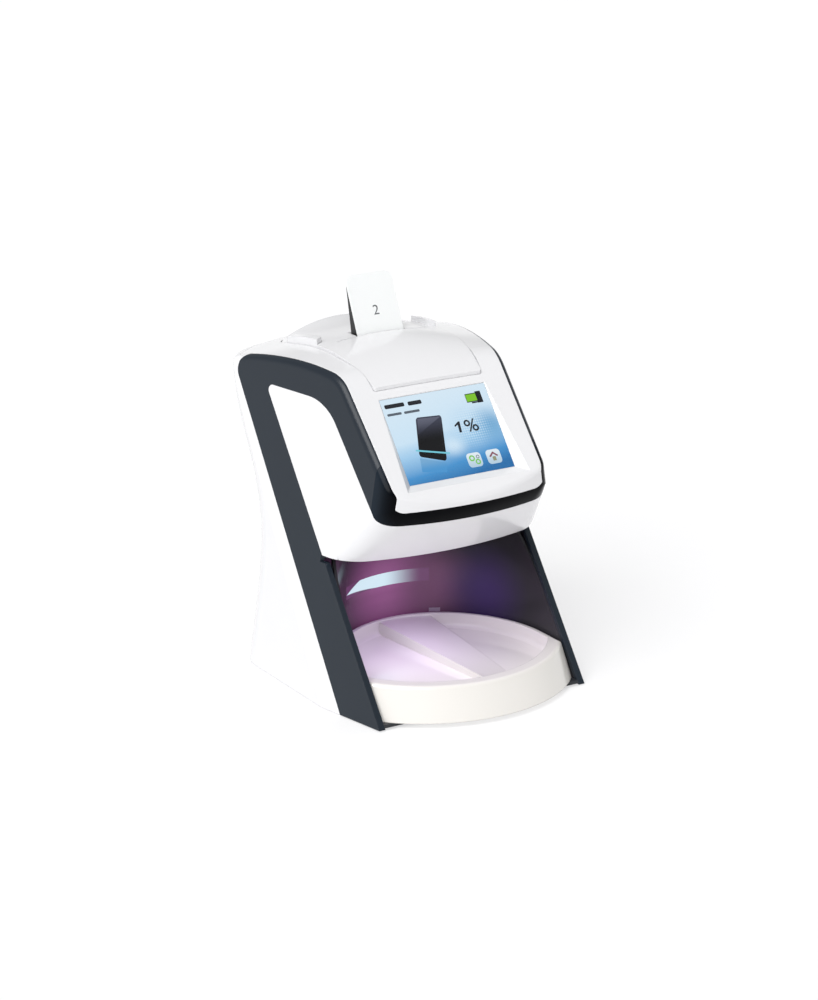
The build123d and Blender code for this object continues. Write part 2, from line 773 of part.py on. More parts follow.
lid_plate = extrude(Pos(0, 0, 150) * lid_outline(0), amount=60)
top_lid = (lid_plate & crown_block(LID_CROWN, 0)) - crown_block(LID_CROWN, LID_WALL)
skirt_low = (-SHELL_SLOT_HALF + LID_GAP, SHELL_SLOT_FRONT_Y + LID_GAP, LID_SKIRT_Z)
skirt_high = (SHELL_SLOT_HALF - LID_GAP, SHELL_SLOT_REAR_Y - LID_SKIRT_REAR_GAP, TOP_Z + 10)
skirt = box_between(skirt_low, skirt_high) - box_between(
    (skirt_low[0] + LID_SKIRT, skirt_low[1] + LID_SKIRT, 0),
    (skirt_high[0] - LID_SKIRT, skirt_high[1] - LID_SKIRT, BIG),
)
skirt = skirt & crown_block(LID_CROWN, LID_WALL)
slot_half = PLATE_WIDTH / 2 + SLOT_SIDE_GAP
slot_front = -PLATE_THICKNESS - SLOT_FRONT_GAP
top_lid = top_lid + skirt
tab_plan = make_face(
    Polyline(
        TAB_FRONT,
        TAB_REAR,
        (TAB_REAR[0] - TAB_WIDTH, TAB_REAR[1] - TAB_END_SLOPE),
        (TAB_FRONT[0] - TAB_WIDTH, TAB_FRONT[1] + TAB_END_SLOPE),
        close=True,
    )
)
tab = extrude(Pos(0, 0, 150) * tab_plan, amount=60) & crown_block(LID_CROWN, -TAB_HEIGHT)
tab = tab - crown_block(LID_CROWN, LID_WALL / 2)
top_lid = top_lid + tab + mirror(tab, Plane.YZ)
top_lid = top_lid - path_box(-slot_half, slot_half, slot_front, SLOT_DEPTH, -14, 14)
top_lid = top_lid - path_box(-SLIT_HALF, SLIT_HALF, slot_front, slot_front + SLIT_WIDTH, -3.4, 14)
save(top_lid, "top_lid")

# Screen: glass, panel and the bracket that clamps them to the well

touch_glass = screen_box(glass_half_x, glass_half_y, -GLASS_THICKNESS, 0.0)
lcd_low = -GLASS_THICKNESS - LCD_THICKNESS
lcd_panel = screen_box(SCREEN_WIDTH / 2 + 1, SCREEN_HEIGHT / 2 + 1, lcd_low, -GLASS_THICKNESS)
bracket_low = lcd_low - SCREEN_BRACKET_THICKNESS
screen_bracket = screen_box(well_half_x, well_half_y, bracket_low, WELL_LOW)
screen_bracket = screen_bracket - screen_box(well_half_x - 4, well_half_y - 4, lcd_low, WELL_LOW + 1)
save(touch_glass, "touch_glass")
save(lcd_panel, "lcd_panel")
save(screen_bracket, "screen_bracket")

# Imaging plate and the wedge that carries it

plate_face = Rectangle(PLATE_WIDTH, PLATE_LENGTH)
plate_face = fillet(plate_face.vertices(), PLATE_CORNER_R)
plate_middle = PLATE_LENGTH / 2 - PLATE_SUNK
imaging_plate = PATH * Pos(0, plate_middle, 0) * extrude(plate_face, amount=PLATE_THICKNESS)
save(imaging_plate, "imaging_plate")

holder_back = PLATE_GAP
lip_back = -PLATE_THICKNESS - PLATE_GAP
lip_front = lip_back - HOLDER_LIP
lip_floor = -PLATE_SUNK - PLATE_GAP
holder_side = [
    (holder_back, HOLDER_TOP_U),
    (holder_back + HOLDER_TOP_DEPTH, HOLDER_TOP_U),
    (HOLDER_HEEL_DEPTH, HOLDER_HEEL_U),
    (HOLDER_HEEL_DEPTH, HOLDER_FOOT_U),
    (lip_front, HOLDER_FOOT_U),
    (lip_front, HOLDER_LIP_TOP_U),
    (lip_back, HOLDER_LIP_TOP_U),
    (lip_back, lip_floor),
    (holder_back, lip_floor),
]
plate_holder = yz_prism(
    [tuple(path_point(0, v, u))[1:] for v, u in holder_side], -HOLDER_WIDTH / 2, HOLDER_WIDTH / 2
)
save(plate_holder, "plate_holder")

# Carriage, nut, rods and screw

CARRIAGE_FRONT_V = HOLDER_HEEL_DEPTH
CARRIAGE_BACK_V = CARRIAGE_FRONT_V + CARRIAGE_THICKNESS
CARRIAGE_LOW_U = CARRIAGE_TOP_U - CARRIAGE_HEIGHT
plate_carriage = path_box(
    -CARRIAGE_HALF, CARRIAGE_HALF, CARRIAGE_FRONT_V, CARRIAGE_BACK_V, CARRIAGE_LOW_U, CARRIAGE_TOP_U
)
for side in SIDES:
    plate_carriage += path_rod(side * ROD_X, ROD_V, CARRIAGE_LOW_U, CARRIAGE_TOP_U, SLEEVE_R)
nut_low_u = CARRIAGE_LOW_U + NUT_FLANGE
plate_carriage += path_box(
    -NUT_BLOCK_HALF, NUT_BLOCK_HALF, CARRIAGE_BACK_V, NUT_BLOCK_REAR_V, nut_low_u, CARRIAGE_TOP_U
)
for side in SIDES:
    bore = path_rod(side * ROD_X, ROD_V, CARRIAGE_LOW_U - 1, CARRIAGE_TOP_U + 1, ROD_R + ROD_GAP)
    plate_carriage -= bore
plate_carriage -= path_rod(0, ROD_V, nut_low_u - 1, nut_low_u + NUT_LENGTH, NUT_R)
plate_carriage -= path_rod(0, ROD_V, nut_low_u, CARRIAGE_TOP_U + 1, SCREW_R + 0.8)
plate_carriage -= path_rod(0, ROD_V, CARRIAGE_LOW_U - 1, nut_low_u, NUT_FLANGE_R)
save(plate_carriage, "plate_carriage")

lead_nut = path_rod(0, ROD_V, nut_low_u, nut_low_u + NUT_LENGTH, NUT_R)
lead_nut += path_rod(0, ROD_V, nut_low_u - NUT_FLANGE, nut_low_u, NUT_FLANGE_R)
lead_nut -= path_rod(0, ROD_V, nut_low_u - 20, nut_low_u + 20, SCREW_R + SCREW_GAP)
save(lead_nut, "lead_nut")

SCAN_LOW_U = CARRIAGE_LOW_U - TRAVEL - SCAN_LOW_GAP - SHEET
rods = [path_rod(side * ROD_X, ROD_V, SCAN_LOW_U, SCAN_TOP_U, ROD_R) for side in SIDES]
save(Compound(children=rods), "guide_rods")

journal_r = SCREW_R - 1.0
screw_low_u = SCAN_LOW_U - MOTOR_FLANGE - MOTOR_LENGTH + 3.0
lead_screw = path_rod(0, ROD_V, SCAN_LOW_U + SHEET + 0.3, SCAN_TOP_U - SHEET - 0.3, SCREW_R)
lead_screw += path_rod(0, ROD_V, screw_low_u, SCAN_TOP_U, journal_r)
save(lead_screw, "lead_screw")

# Scan frame on the deck, with the feed motor under its lower flange

scan_frame = path_box(
    -SCAN_FRAME_HALF, SCAN_FRAME_HALF, SCAN_BACK_V, SCAN_BACK_V + SHEET, SCAN_LOW_U, SCAN_TOP_U
)
for flange_u in (SCAN_LOW_U, SCAN_TOP_U - SHEET):
    scan_frame += path_box(
        -SCAN_FRAME_HALF, SCAN_FRAME_HALF, SCAN_FLANGE_FRONT_V, SCAN_BACK_V, flange_u, flange_u + SHEET
    )
SCAN_FOOT_REAR_Y = UPRIGHT_Y
cheek_side = [
    (SCAN_FOOT_FRONT_Y, DECK_TOP_Z),
    (SCAN_FOOT_REAR_Y, DECK_TOP_Z),
    tuple(path_point(0, SCAN_BACK_V + SHEET, -40))[1:],
    tuple(path_point(0, SCAN_FLANGE_FRONT_V, -70))[1:],
]
for side in SIDES:
    near = side * SCAN_FRAME_HALF
    far = side * (SCAN_FRAME_HALF - SHEET)
    scan_frame += yz_prism(cheek_side, min(near, far), max(near, far))
    foot_inner = side * (SCAN_FRAME_HALF - SCAN_FOOT_WIDTH)
    scan_frame += box_between(
        (min(near, foot_inner), SCAN_FOOT_FRONT_Y, DECK_TOP_Z),
        (max(near, foot_inner), SCAN_FOOT_REAR_Y, DECK_TOP_Z + SHEET),
    )
    scan_frame -= path_rod(side * ROD_X, ROD_V, SCAN_LOW_U - 1, SCAN_TOP_U + 1, ROD_R)
scan_frame -= path_rod(0, ROD_V, SCAN_LOW_U - 1, SCAN_TOP_U + 1, journal_r + PIN_GAP)
FRAME_SCREWS = [(side * (SCAN_FRAME_HALF - 5.0), y) for side in SIDES for y in (12.0, 31.0)]
for x, y in FRAME_SCREWS:
    scan_frame -= z_rod(x, y, DECK_TOP_Z - 1, DECK_TOP_Z + SHEET + 1, SCREW_SHANK_R)
save(scan_frame, "scan_frame")

motor_top_u = SCAN_LOW_U
feed_motor = path_rod(0, ROD_V, motor_top_u - MOTOR_FLANGE - MOTOR_LENGTH, motor_top_u, MOTOR_R)
feed_motor += path_rod(0, ROD_V, motor_top_u - MOTOR_FLANGE, motor_top_u, MOTOR_FLANGE_R)
feed_motor -= path_rod(0, ROD_V, screw_low_u - 0.5, motor_top_u + 1, journal_r + PIN_GAP)
save(feed_motor, "feed_motor")

# Optics bench with light guide, light detector, laser and spinning mirror

GUIDE_FRONT_V = PMT_V + PMT_R + 0.2
bench_low = tuple(path_point(0, BENCH_V, (DECK_TOP_Z - SLOT_Z + BENCH_V * sin(radians(PATH_LEAN)))
                             / cos(radians(PATH_LEAN))))
bench_side = [
    (bench_low[1], DECK_TOP_Z),
    tuple(path_point(0, BENCH_V, BENCH_TOP_U))[1:],
    tuple(path_point(0, BENCH_V - SHEET, BENCH_TOP_U))[1:],
    (bench_low[1] - SHEET / cos(radians(PATH_LEAN)), DECK_TOP_Z),
]
optics_bench = yz_prism(bench_side, -BENCH_HALF, BENCH_HALF)
optics_bench += box_between(
    (-BENCH_HALF, bench_low[1] - 1, DECK_TOP_Z), (BENCH_HALF, bench_low[1] + BENCH_FOOT, DECK_TOP_Z + SHEET)
)
cheek = [(BENCH_V - 0.5, -58), (BENCH_V - 0.5, -32), (-16, -20), (GUIDE_BACK_V - 0.2, -20)]
cheek += [(GUIDE_BACK_V - 0.2, -36), (-14, -58)]
cheek = [tuple(path_point(0, v, u))[1:] for v, u in cheek]
pmt_half = PMT_LENGTH / 2
for side in SIDES:
    near = side * pmt_half
    far = side * (pmt_half + CHEEK)
    optics_bench += yz_prism(cheek, min(near, far), max(near, far))
    post_x = side * ERASE_POST_X
    optics_bench += path_box(
        post_x - POST_R, post_x + POST_R, BENCH_V - 0.5, ERASE_V - BOARD, ERASE_TOP_U - 12, ERASE_TOP_U - 6
    )
laser_mid_x = LASER_START_X + LASER_LENGTH / 2
optics_bench += path_box(
    laser_mid_x - 5, laser_mid_x + 5, BENCH_V - 0.5, OPTICS_V - LASER_R + 1.5, OPTICS_U - 5, OPTICS_U + 5
)
laser_module = PATH * Pos(laser_mid_x, OPTICS_U, -OPTICS_V) * Rot(0, 90, 0) * Cylinder(LASER_R, LASER_LENGTH)
optics_bench -= laser_module
BENCH_SCREWS = [(side * (BENCH_HALF - 5.0), bench_low[1] + BENCH_FOOT - 3.5) for side in SIDES]
for x, y in BENCH_SCREWS:
    optics_bench -= z_rod(x, y, DECK_TOP_Z - 1, DECK_TOP_Z + SHEET + 1, SCREW_SHANK_R)
save(optics_bench, "optics_bench")
save(laser_module, "laser_module")

photomultiplier = PATH * Pos(0, PMT_U, -PMT_V) * Rot(0, 90, 0) * Cylinder(PMT_R, PMT_LENGTH)
save(photomultiplier, "photomultiplier")
light_guide = path_box(-pmt_half, pmt_half, GUIDE_FRONT_V, GUIDE_BACK_V, GUIDE_LOW_U, GUIDE_TOP_U)
save(light_guide, "light_guide")
erase_board = path_box(
    -ERASE_HALF, ERASE_HALF, ERASE_V - BOARD, ERASE_V, ERASE_TOP_U - ERASE_HEIGHT, ERASE_TOP_U
)
save(erase_board, "erase_board")


def across_path(x, u, v_low, v_high, radius):
    """A round bar square to the plate's face."""
    return PATH * Pos(x, u, -(v_low + v_high) / 2) * Cylinder(radius, v_high - v_low)


motor_front_v = BENCH_V + POLYGON_MOTOR_LENGTH
polygon_low_v = OPTICS_V - POLYGON_THICKNESS / 2
polygon_face = RegularPolygon(POLYGON_R, POLYGON_SIDES)
polygon_mirror = PATH * Pos(0, OPTICS_U, -OPTICS_V - POLYGON_THICKNESS / 2) * extrude(
    polygon_face, amount=POLYGON_THICKNESS
)
polygon_mirror += across_path(0, OPTICS_U, BENCH_V + 1.0, OPTICS_V, POLYGON_SHAFT_R)
save(polygon_mirror, "polygon_mirror")
polygon_motor = across_path(0, OPTICS_U, BENCH_V, motor_front_v, POLYGON_MOTOR_R)
polygon_motor -= across_path(0, OPTICS_U, BENCH_V + 0.5, motor_front_v + 1, POLYGON_SHAFT_R + PIN_GAP)
save(polygon_motor, "polygon_motor")

# Inner frame: upright behind the niche, deck over it and foot on the base

inner_frame = box_between((-DECK_HALF, DECK_FRONT_Y, DECK_LOW_Z), (DECK_HALF, UPRIGHT_Y + SHEET, DECK_TOP_Z))
inner_frame -= box_between((-HATCH_HALF, HATCH_FRONT_Y, 0), (HATCH_HALF, HATCH_REAR_Y, BIG))
inner_frame += box_between(
    (-UPRIGHT_HALF, UPRIGHT_Y, BASE_TOP_Z), (UPRIGHT_HALF, UPRIGHT_Y + SHEET, DECK_TOP_Z)
)
inner_frame += box_between(
    (-UPRIGHT_HALF, UPRIGHT_Y, BASE_TOP_Z), (UPRIGHT_HALF, UPRIGHT_Y + UPRIGHT_FOOT, BASE_TOP_Z + SHEET)
)
BOARD_FRONT_Y = UPRIGHT_Y + SHEET + BOARD_STANDOFF
for x in (-BOARD_HALF + 5, BOARD_HALF - 5):
    for z in (BOARD_LOW_Z + 12, BOARD_HIGH_Z - 5):
        inner_frame += y_rod(x, z, UPRIGHT_Y + 1, BOARD_FRONT_Y, POST_R)
for x, y in FRAME_SCREWS + BENCH_SCREWS:
    inner_frame -= z_rod(x, y, DECK_LOW_Z - 1, DECK_TOP_Z + 1, SCREW_SHANK_R)
BASE_SCREWS = [(x, UPRIGHT_Y + UPRIGHT_FOOT - 4.0) for x in (-36.0, -12.0, 12.0, 36.0)]
for x, y in BASE_SCREWS:
    inner_frame -= z_rod(x, y, 0, BASE_TOP_Z + SHEET + 1, SCREW_SHANK_R)
save(inner_frame, "inner_frame")

# Base plate, rubber feet and the screws

threshold = OUTER & box_between((-LEG_INNER_X, -BIG, BASE_BOTTOM_Z), (LEG_INNER_X, 0, BASE_TOP_Z))
base_plate = low_room(BASE_BOTTOM_Z, BASE_TOP_Z) + threshold
feet = []
for x, y in FOOT_PLACES:
    base_plate -= z_rod(x, y, 0, BASE_TOP_Z, FOOT_PEG_R)
    feet.append(z_rod(x, y, 0, BASE_BOTTOM_Z, FOOT_R) + z_rod(x, y, 0, BASE_TOP_Z, FOOT_PEG_R))
for x, y in BASE_SCREWS:
    base_plate -= z_rod(x, y, 0, BASE_TOP_Z + 1, SCREW_SHANK_R)
save(base_plate, "base_plate")
save(Compound(children=feet), "rubber_feet")

base_screws = []
for x, y in BASE_SCREWS:
    screw = z_rod(x, y, BASE_BOTTOM_Z - 1.2, BASE_BOTTOM_Z, SCREW_HEAD_R)
    base_screws.append(screw + z_rod(x, y, BASE_BOTTOM_Z - 1, BASE_TOP_Z + SHEET, SCREW_SHANK_R))
save(Compound(children=base_screws), "base_screws")
frame_screws = []
for x, y in FRAME_SCREWS + BENCH_SCREWS:
    screw = z_rod(x, y, DECK_TOP_Z + SHEET, DECK_TOP_Z + SHEET + SCREW_HEAD, SCREW_HEAD_R)
    frame_screws.append(screw + z_rod(x, y, DECK_LOW_Z, DECK_TOP_Z + SHEET + 1, SCREW_SHANK_R))
save(Compound(children=frame_screws), "frame_screws")

# Niche liner with its roof, light strip window, sensor window and flap bearings

leg_return_y = WALL * sqrt(1 + LEG_FRONT_SLOPE ** 2)
liner_front = yz_prism(
    [
        (leg_front_y(-2) + leg_return_y, -2.0),
        (leg_front_y(HEAD_FLOOR_Z) + leg_return_y, HEAD_FLOOR_Z),
        (LINER_ROOF_FRONT_Y, HEAD_FLOOR_Z),
        (LINER_ROOF_FRONT_Y, BIG / 2),
        (BIG / 2, BIG / 2),
        (BIG / 2, -2.0),
    ],
    -BIG / 2,
    BIG / 2,
)
niche_liner = niche_block(LINER_WALL, NICHE_FLOOR_Z, LINER_TOP_Z) & liner_front
niche_liner -= niche_block(0, 0, HEAD_FLOOR_Z)
strip_low_x = STRIP_CENTRE_X - STRIP_HALF
strip_high_x = STRIP_CENTRE_X + STRIP_HALF
strip_box = box_between((strip_low_x, 0, STRIP_LOW_Z), (strip_high_x, BIG / 2, STRIP_LOW_Z + STRIP_HEIGHT))
light_strip_lens = niche_liner & strip_box
niche_liner -= strip_box
sensor_box = box_between((SENSOR_X[0], 0, SENSOR_Z[0]), (SENSOR_X[1], BIG / 2, SENSOR_Z[1]))
tray_sensor = niche_liner & sensor_box
niche_liner -= sensor_box
flap_room = FLAP_HALF + FLAP_GAP
niche_liner -= box_between((-flap_room, FLAP_FRONT_Y - FLAP_GAP, 80), (flap_room, FLAP_AXIS[0] + 2.6, BIG))
for side in SIDES:
    near = side * flap_room
    far = side * (flap_room + FLAP_PIN_LENGTH)
    niche_liner += box_between(
        (min(near, far), FLAP_AXIS[0] - 2.6, HEAD_FLOOR_Z), (max(near, far), FLAP_AXIS[0] + 2.6, DECK_TOP_Z)
    )
niche_liner -= x_rod(*FLAP_AXIS, -flap_room - 2.4, flap_room + 2.4, FLAP_PIN_R + PIN_GAP)
save(niche_liner, "niche_liner")
save(light_strip_lens, "light_strip_lens")
save(tray_sensor, "tray_sensor")
strip_board = box_between(
    (strip_low_x, UPRIGHT_Y - BOARD, STRIP_LOW_Z - 3), (strip_high_x, UPRIGHT_Y, STRIP_LOW_Z + STRIP_HEIGHT + 3)
)
save(strip_board, "strip_board")

eject_flap = box_between(
    (-FLAP_HALF, FLAP_FRONT_Y, HEAD_FLOOR_Z + 0.3), (FLAP_HALF, FLAP_AXIS[0], HEAD_FLOOR_Z + 0.3 + FLAP_THICKNESS)
)
eject_flap += x_rod(*FLAP_AXIS, -FLAP_HALF, FLAP_HALF, FLAP_KNUCKLE_R)
eject_flap += x_rod(*FLAP_AXIS, -flap_room - 2.0, flap_room + 2.0, FLAP_PIN_R)
save(eject_flap, "eject_flap")

# Collecting tray

TRAY_BASE_Z = BASE_TOP_Z + TRAY_BASE_GAP
tray_height = TRAY_RIM_Z - TRAY_BASE_Z
front_cone = Pos(0, TRAY_ARC_Y, TRAY_BASE_Z + tray_height / 2) * Cone(TRAY_BASE_R, TRAY_TOP_R, tray_height)


def tray_plan(side_gap, rear_gap, z_low, z_high):
    """The niche's plan set in by a gap, as a block."""
    half = LEG_INNER_X - side_gap
    depth = NICHE_DEPTH - rear_gap
    ellipse = Pos(0, NICHE_CENTRE_Y) * Ellipse(half, depth)
    rear = ellipse & Pos(0, NICHE_CENTRE_Y + BIG / 2) * Rectangle(BIG, BIG)
    plan = rear + Pos(0, NICHE_CENTRE_Y - BIG / 4) * Rectangle(2 * half, BIG / 2)
    return extrude(Pos(0, 0, z_low) * plan, amount=z_high - z_low)


tray_body = front_cone & tray_plan(TRAY_SIDE_GAP, TRAY_REAR_GAP, 0, 40)
rim = tray_body.faces().sort_by(Axis.Z)[-1].edges()
tray_body = fillet(rim, TRAY_RIM_R)
dish_floor_z = TRAY_RIM_Z - TRAY_DISH_DEPTH
dish = Pos(0, TRAY_ARC_Y, dish_floor_z + 20) * Cylinder(TRAY_TOP_R - TRAY_RIM_FRONT, 40)
dish = dish & tray_plan(TRAY_SIDE_GAP + TRAY_RIM_REAR, TRAY_REAR_GAP + TRAY_RIM_REAR, dish_floor_z, 60)
dish = fillet(dish.faces().sort_by(Axis.Z)[0].edges(), TRAY_DISH_R)
belly_top = dish_floor_z - TRAY_WALL
belly = Pos(0, TRAY_ARC_Y, belly_top - 20) * Cylinder(TRAY_TOP_R - TRAY_RIM_FRONT + 3, 40)
belly = belly & tray_plan(TRAY_SIDE_GAP + TRAY_WALL, TRAY_REAR_GAP + TRAY_WALL, -10, belly_top)
ramp = loft(
    [
        Plane.XZ.offset(-y)
        * make_face(Polyline(left, right, (right[0], belly_top), (left[0], belly_top), close=True))
        for y, left, right in RAMP_ENDS
    ],
    ruled=True,
)
ramp = ramp & tray_plan(TRAY_SIDE_GAP + 1, TRAY_REAR_GAP + 1, 0, 60)
collecting_tray = tray_body - dish + ramp - belly
save(collecting_tray, "collecting_tray")

# Main board, rear panel, sockets and switch

main_board = box_between(
    (-BOARD_HALF, BOARD_FRONT_Y, BOARD_LOW_Z), (BOARD_HALF, BOARD_FRONT_Y + BOARD, BOARD_HIGH_Z)
)
save(main_board, "main_board")
BOARD_REAR_Y = BOARD_FRONT_Y + BOARD
SOCKET_REAR_Y = PANEL_Y + PANEL_THICKNESS + SOCKET_PROUD


def socket_block(x, size):
    return box_between(
        (x - size[0] / 2, BOARD_REAR_Y, SOCKET_LOW_Z), (x + size[0] / 2, SOCKET_REAR_Y, SOCKET_LOW_Z + size[1])
    )


network_socket = socket_block(NETWORK_X, NETWORK_SIZE)
network_mid_z = SOCKET_LOW_Z + NETWORK_SIZE[1] / 2
network_socket -= box_between(
    (NETWORK_X - NETWORK_HOLE[0] / 2, SOCKET_REAR_Y - SOCKET_HOLE_DEPTH, network_mid_z - NETWORK_HOLE[1] / 2),
    (NETWORK_X + NETWORK_HOLE[0] / 2, SOCKET_REAR_Y + 1, network_mid_z + NETWORK_HOLE[1] / 2),
)
save(network_socket, "network_socket")
power_mid_z = SOCKET_LOW_Z + POWER_SIZE[1] / 2
power_inlet = socket_block(POWER_X, POWER_SIZE)
power_inlet -= y_rod(
    POWER_X, power_mid_z, SOCKET_REAR_Y - SOCKET_HOLE_DEPTH, SOCKET_REAR_Y + 1, POWER_HOLE_R
)
power_inlet += y_rod(
    POWER_X, power_mid_z, SOCKET_REAR_Y - SOCKET_HOLE_DEPTH - 1, SOCKET_REAR_Y - 1, POWER_PIN_R
)
save(power_inlet, "power_inlet")

switch_low = (SWITCH_X - SWITCH_SIZE[0] / 2, SOCKET_REAR_Y - SWITCH_DEPTH, SWITCH_Z - SWITCH_SIZE[1] / 2)
switch_high = (SWITCH_X + SWITCH_SIZE[0] / 2, SOCKET_REAR_Y, SWITCH_Z + SWITCH_SIZE[1] / 2)
switch_body = box_between(switch_low, switch_high)
switch_body -= box_between(
    [v + SWITCH_WALL for v in switch_low],
    (switch_high[0] - SWITCH_WALL, switch_high[1] + 1, switch_high[2] - SWITCH_WALL),
)
rocker_half = SWITCH_SIZE[0] / 2 - SWITCH_WALL - ROCKER_GAP
switch_body -= x_rod(
    ROCKER_AXIS_Y, SWITCH_Z, SWITCH_X - rocker_half - 1.3, SWITCH_X + rocker_half + 1.3, ROCKER_PIN_R + PIN_GAP
)
save(switch_body, "switch_body")
rocker_side = [(6.2, 8.0), (4.9, 0.0), (6.2, -8.0), (-2.0, -3.0), (-2.0, 3.0)]
tilt = radians(ROCKER_TILT)
rocker_side = [
    (
        ROCKER_AXIS_Y + y * cos(tilt) - z * sin(tilt),
        SWITCH_Z + y * sin(tilt) + z * cos(tilt),
    )
    for y, z in rocker_side
]
switch_rocker = yz_prism(rocker_side, SWITCH_X - rocker_half, SWITCH_X + rocker_half)
switch_rocker += x_rod(
    ROCKER_AXIS_Y, SWITCH_Z, SWITCH_X - rocker_half - 1.0, SWITCH_X + rocker_half + 1.0, ROCKER_PIN_R
)
save(switch_rocker, "switch_rocker")

rear_panel = box_between(
    (-PANEL_HALF, PANEL_Y, BASE_TOP_Z), (PANEL_HALF, PANEL_Y + PANEL_THICKNESS, PANEL_TOP_Z)
)
rear_panel -= network_socket + box_between(
    (NETWORK_X - NETWORK_SIZE[0] / 2, PANEL_Y - 1, SOCKET_LOW_Z),
    (NETWORK_X + NETWORK_SIZE[0] / 2, BIG, SOCKET_LOW_Z + NETWORK_SIZE[1]),
)
rear_panel -= box_between(
    (POWER_X - POWER_SIZE[0] / 2, PANEL_Y - 1, SOCKET_LOW_Z),
    (POWER_X + POWER_SIZE[0] / 2, BIG, SOCKET_LOW_Z + POWER_SIZE[1]),
)
rear_panel -= box_between(switch_low, (switch_high[0], BIG, switch_high[2]))
save(rear_panel, "rear_panel")
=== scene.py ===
from math import cos, pi, radians, sin

import bmesh
import bpy
from mathutils import Matrix, Vector


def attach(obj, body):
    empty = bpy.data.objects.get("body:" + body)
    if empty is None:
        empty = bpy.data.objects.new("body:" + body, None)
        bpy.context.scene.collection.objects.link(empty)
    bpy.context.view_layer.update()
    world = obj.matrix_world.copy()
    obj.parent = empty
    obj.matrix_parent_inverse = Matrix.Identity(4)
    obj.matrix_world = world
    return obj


# A desk-top dental phosphor plate scanner, dressed section by section in the order in
# which it is put together. Metres, in the model's own frame: +X right, +Y back, +Z up.

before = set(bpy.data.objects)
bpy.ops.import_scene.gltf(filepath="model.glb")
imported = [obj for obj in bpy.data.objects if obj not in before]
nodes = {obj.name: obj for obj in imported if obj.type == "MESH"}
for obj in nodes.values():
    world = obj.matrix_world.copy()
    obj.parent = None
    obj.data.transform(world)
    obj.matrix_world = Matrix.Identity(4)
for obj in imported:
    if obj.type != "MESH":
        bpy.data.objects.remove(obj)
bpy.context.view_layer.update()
MM = 0.001


# The photographer's camera: a long lens on a stand, a little above the scanner and
# off to its left. It was solved from the outlines of the object, so it has no shift.
VIEW_TURN = radians(31.563)
VIEW_RISE = radians(18.216)
VIEW_AIM = Vector((0.0, -35.4, 154.0)) * MM
VIEW_DISTANCE = 1767.0 * MM
VIEW_ASIDE = -21.77 * MM
VIEW_BELOW = -37.69 * MM
VIEW_LENS = 111.87
SENSOR = 36.0

view_back = Vector(
    (-sin(VIEW_TURN) * cos(VIEW_RISE), -cos(VIEW_TURN) * cos(VIEW_RISE), sin(VIEW_RISE))
)
view_right = Vector((cos(VIEW_TURN), -sin(VIEW_TURN), 0.0))
view_up = view_back.cross(view_right)
camera_data = bpy.data.cameras.new("studio_camera")
camera_data.lens = VIEW_LENS
camera_data.sensor_width = SENSOR
camera = bpy.data.objects.new("studio_camera", camera_data)
bpy.context.scene.collection.objects.link(camera)
camera_place = VIEW_AIM + VIEW_DISTANCE * view_back + VIEW_ASIDE * view_right + VIEW_BELOW * view_up
camera.matrix_world = Matrix.Translation(camera_place) @ Matrix(
    (view_right, view_up, view_back)
).transposed().to_4x4()
bpy.context.scene.camera = camera


# Rubber feet and the screws of the base: four soft black feet pushed into the base
# plate, and small steel screws that hold the inner frame down on it.

# Blender's numbers for node sockets that share their name with others.
OBJECT_PLACE = 3
VECTOR_VALUE = 1
MIX_FACTOR, MIX_FIRST, MIX_SECOND, MIX_COLOUR = 0, 6, 7, 2

GAMMA = 2.2
BEVEL_SAMPLES = 4


class Wire:
    """An output of a finish's node; arithmetic on wires adds Math nodes to the finish."""

    def __init__(self, finish, socket):
        self.finish = finish
        self.socket = socket

    def maths(self, operation, *values):
        return self.finish.node("ShaderNodeMath", {"operation": operation}, dict(enumerate(values)))

    def __add__(self, other):
        return self.maths("ADD", self, other)

    def __sub__(self, other):
        return self.maths("SUBTRACT", self, other)

    def __rsub__(self, other):
        return self.maths("SUBTRACT", other, self)

    def __mul__(self, other):
        return self.maths("MULTIPLY", self, other)

    def __truediv__(self, other):
        return self.maths("DIVIDE", self, other)

    def __pow__(self, other):
        return self.maths("POWER", self, other)

    def __gt__(self, other):
        return self.maths("GREATER_THAN", self, other)

    def __lt__(self, other):
        return self.maths("LESS_THAN", self, other)

    def __abs__(self):
        return self.maths("ABSOLUTE", self)

    def __mod__(self, other):
        return self.maths("FLOORED_MODULO", self, other)

    __radd__ = __add__
    __rmul__ = __mul__


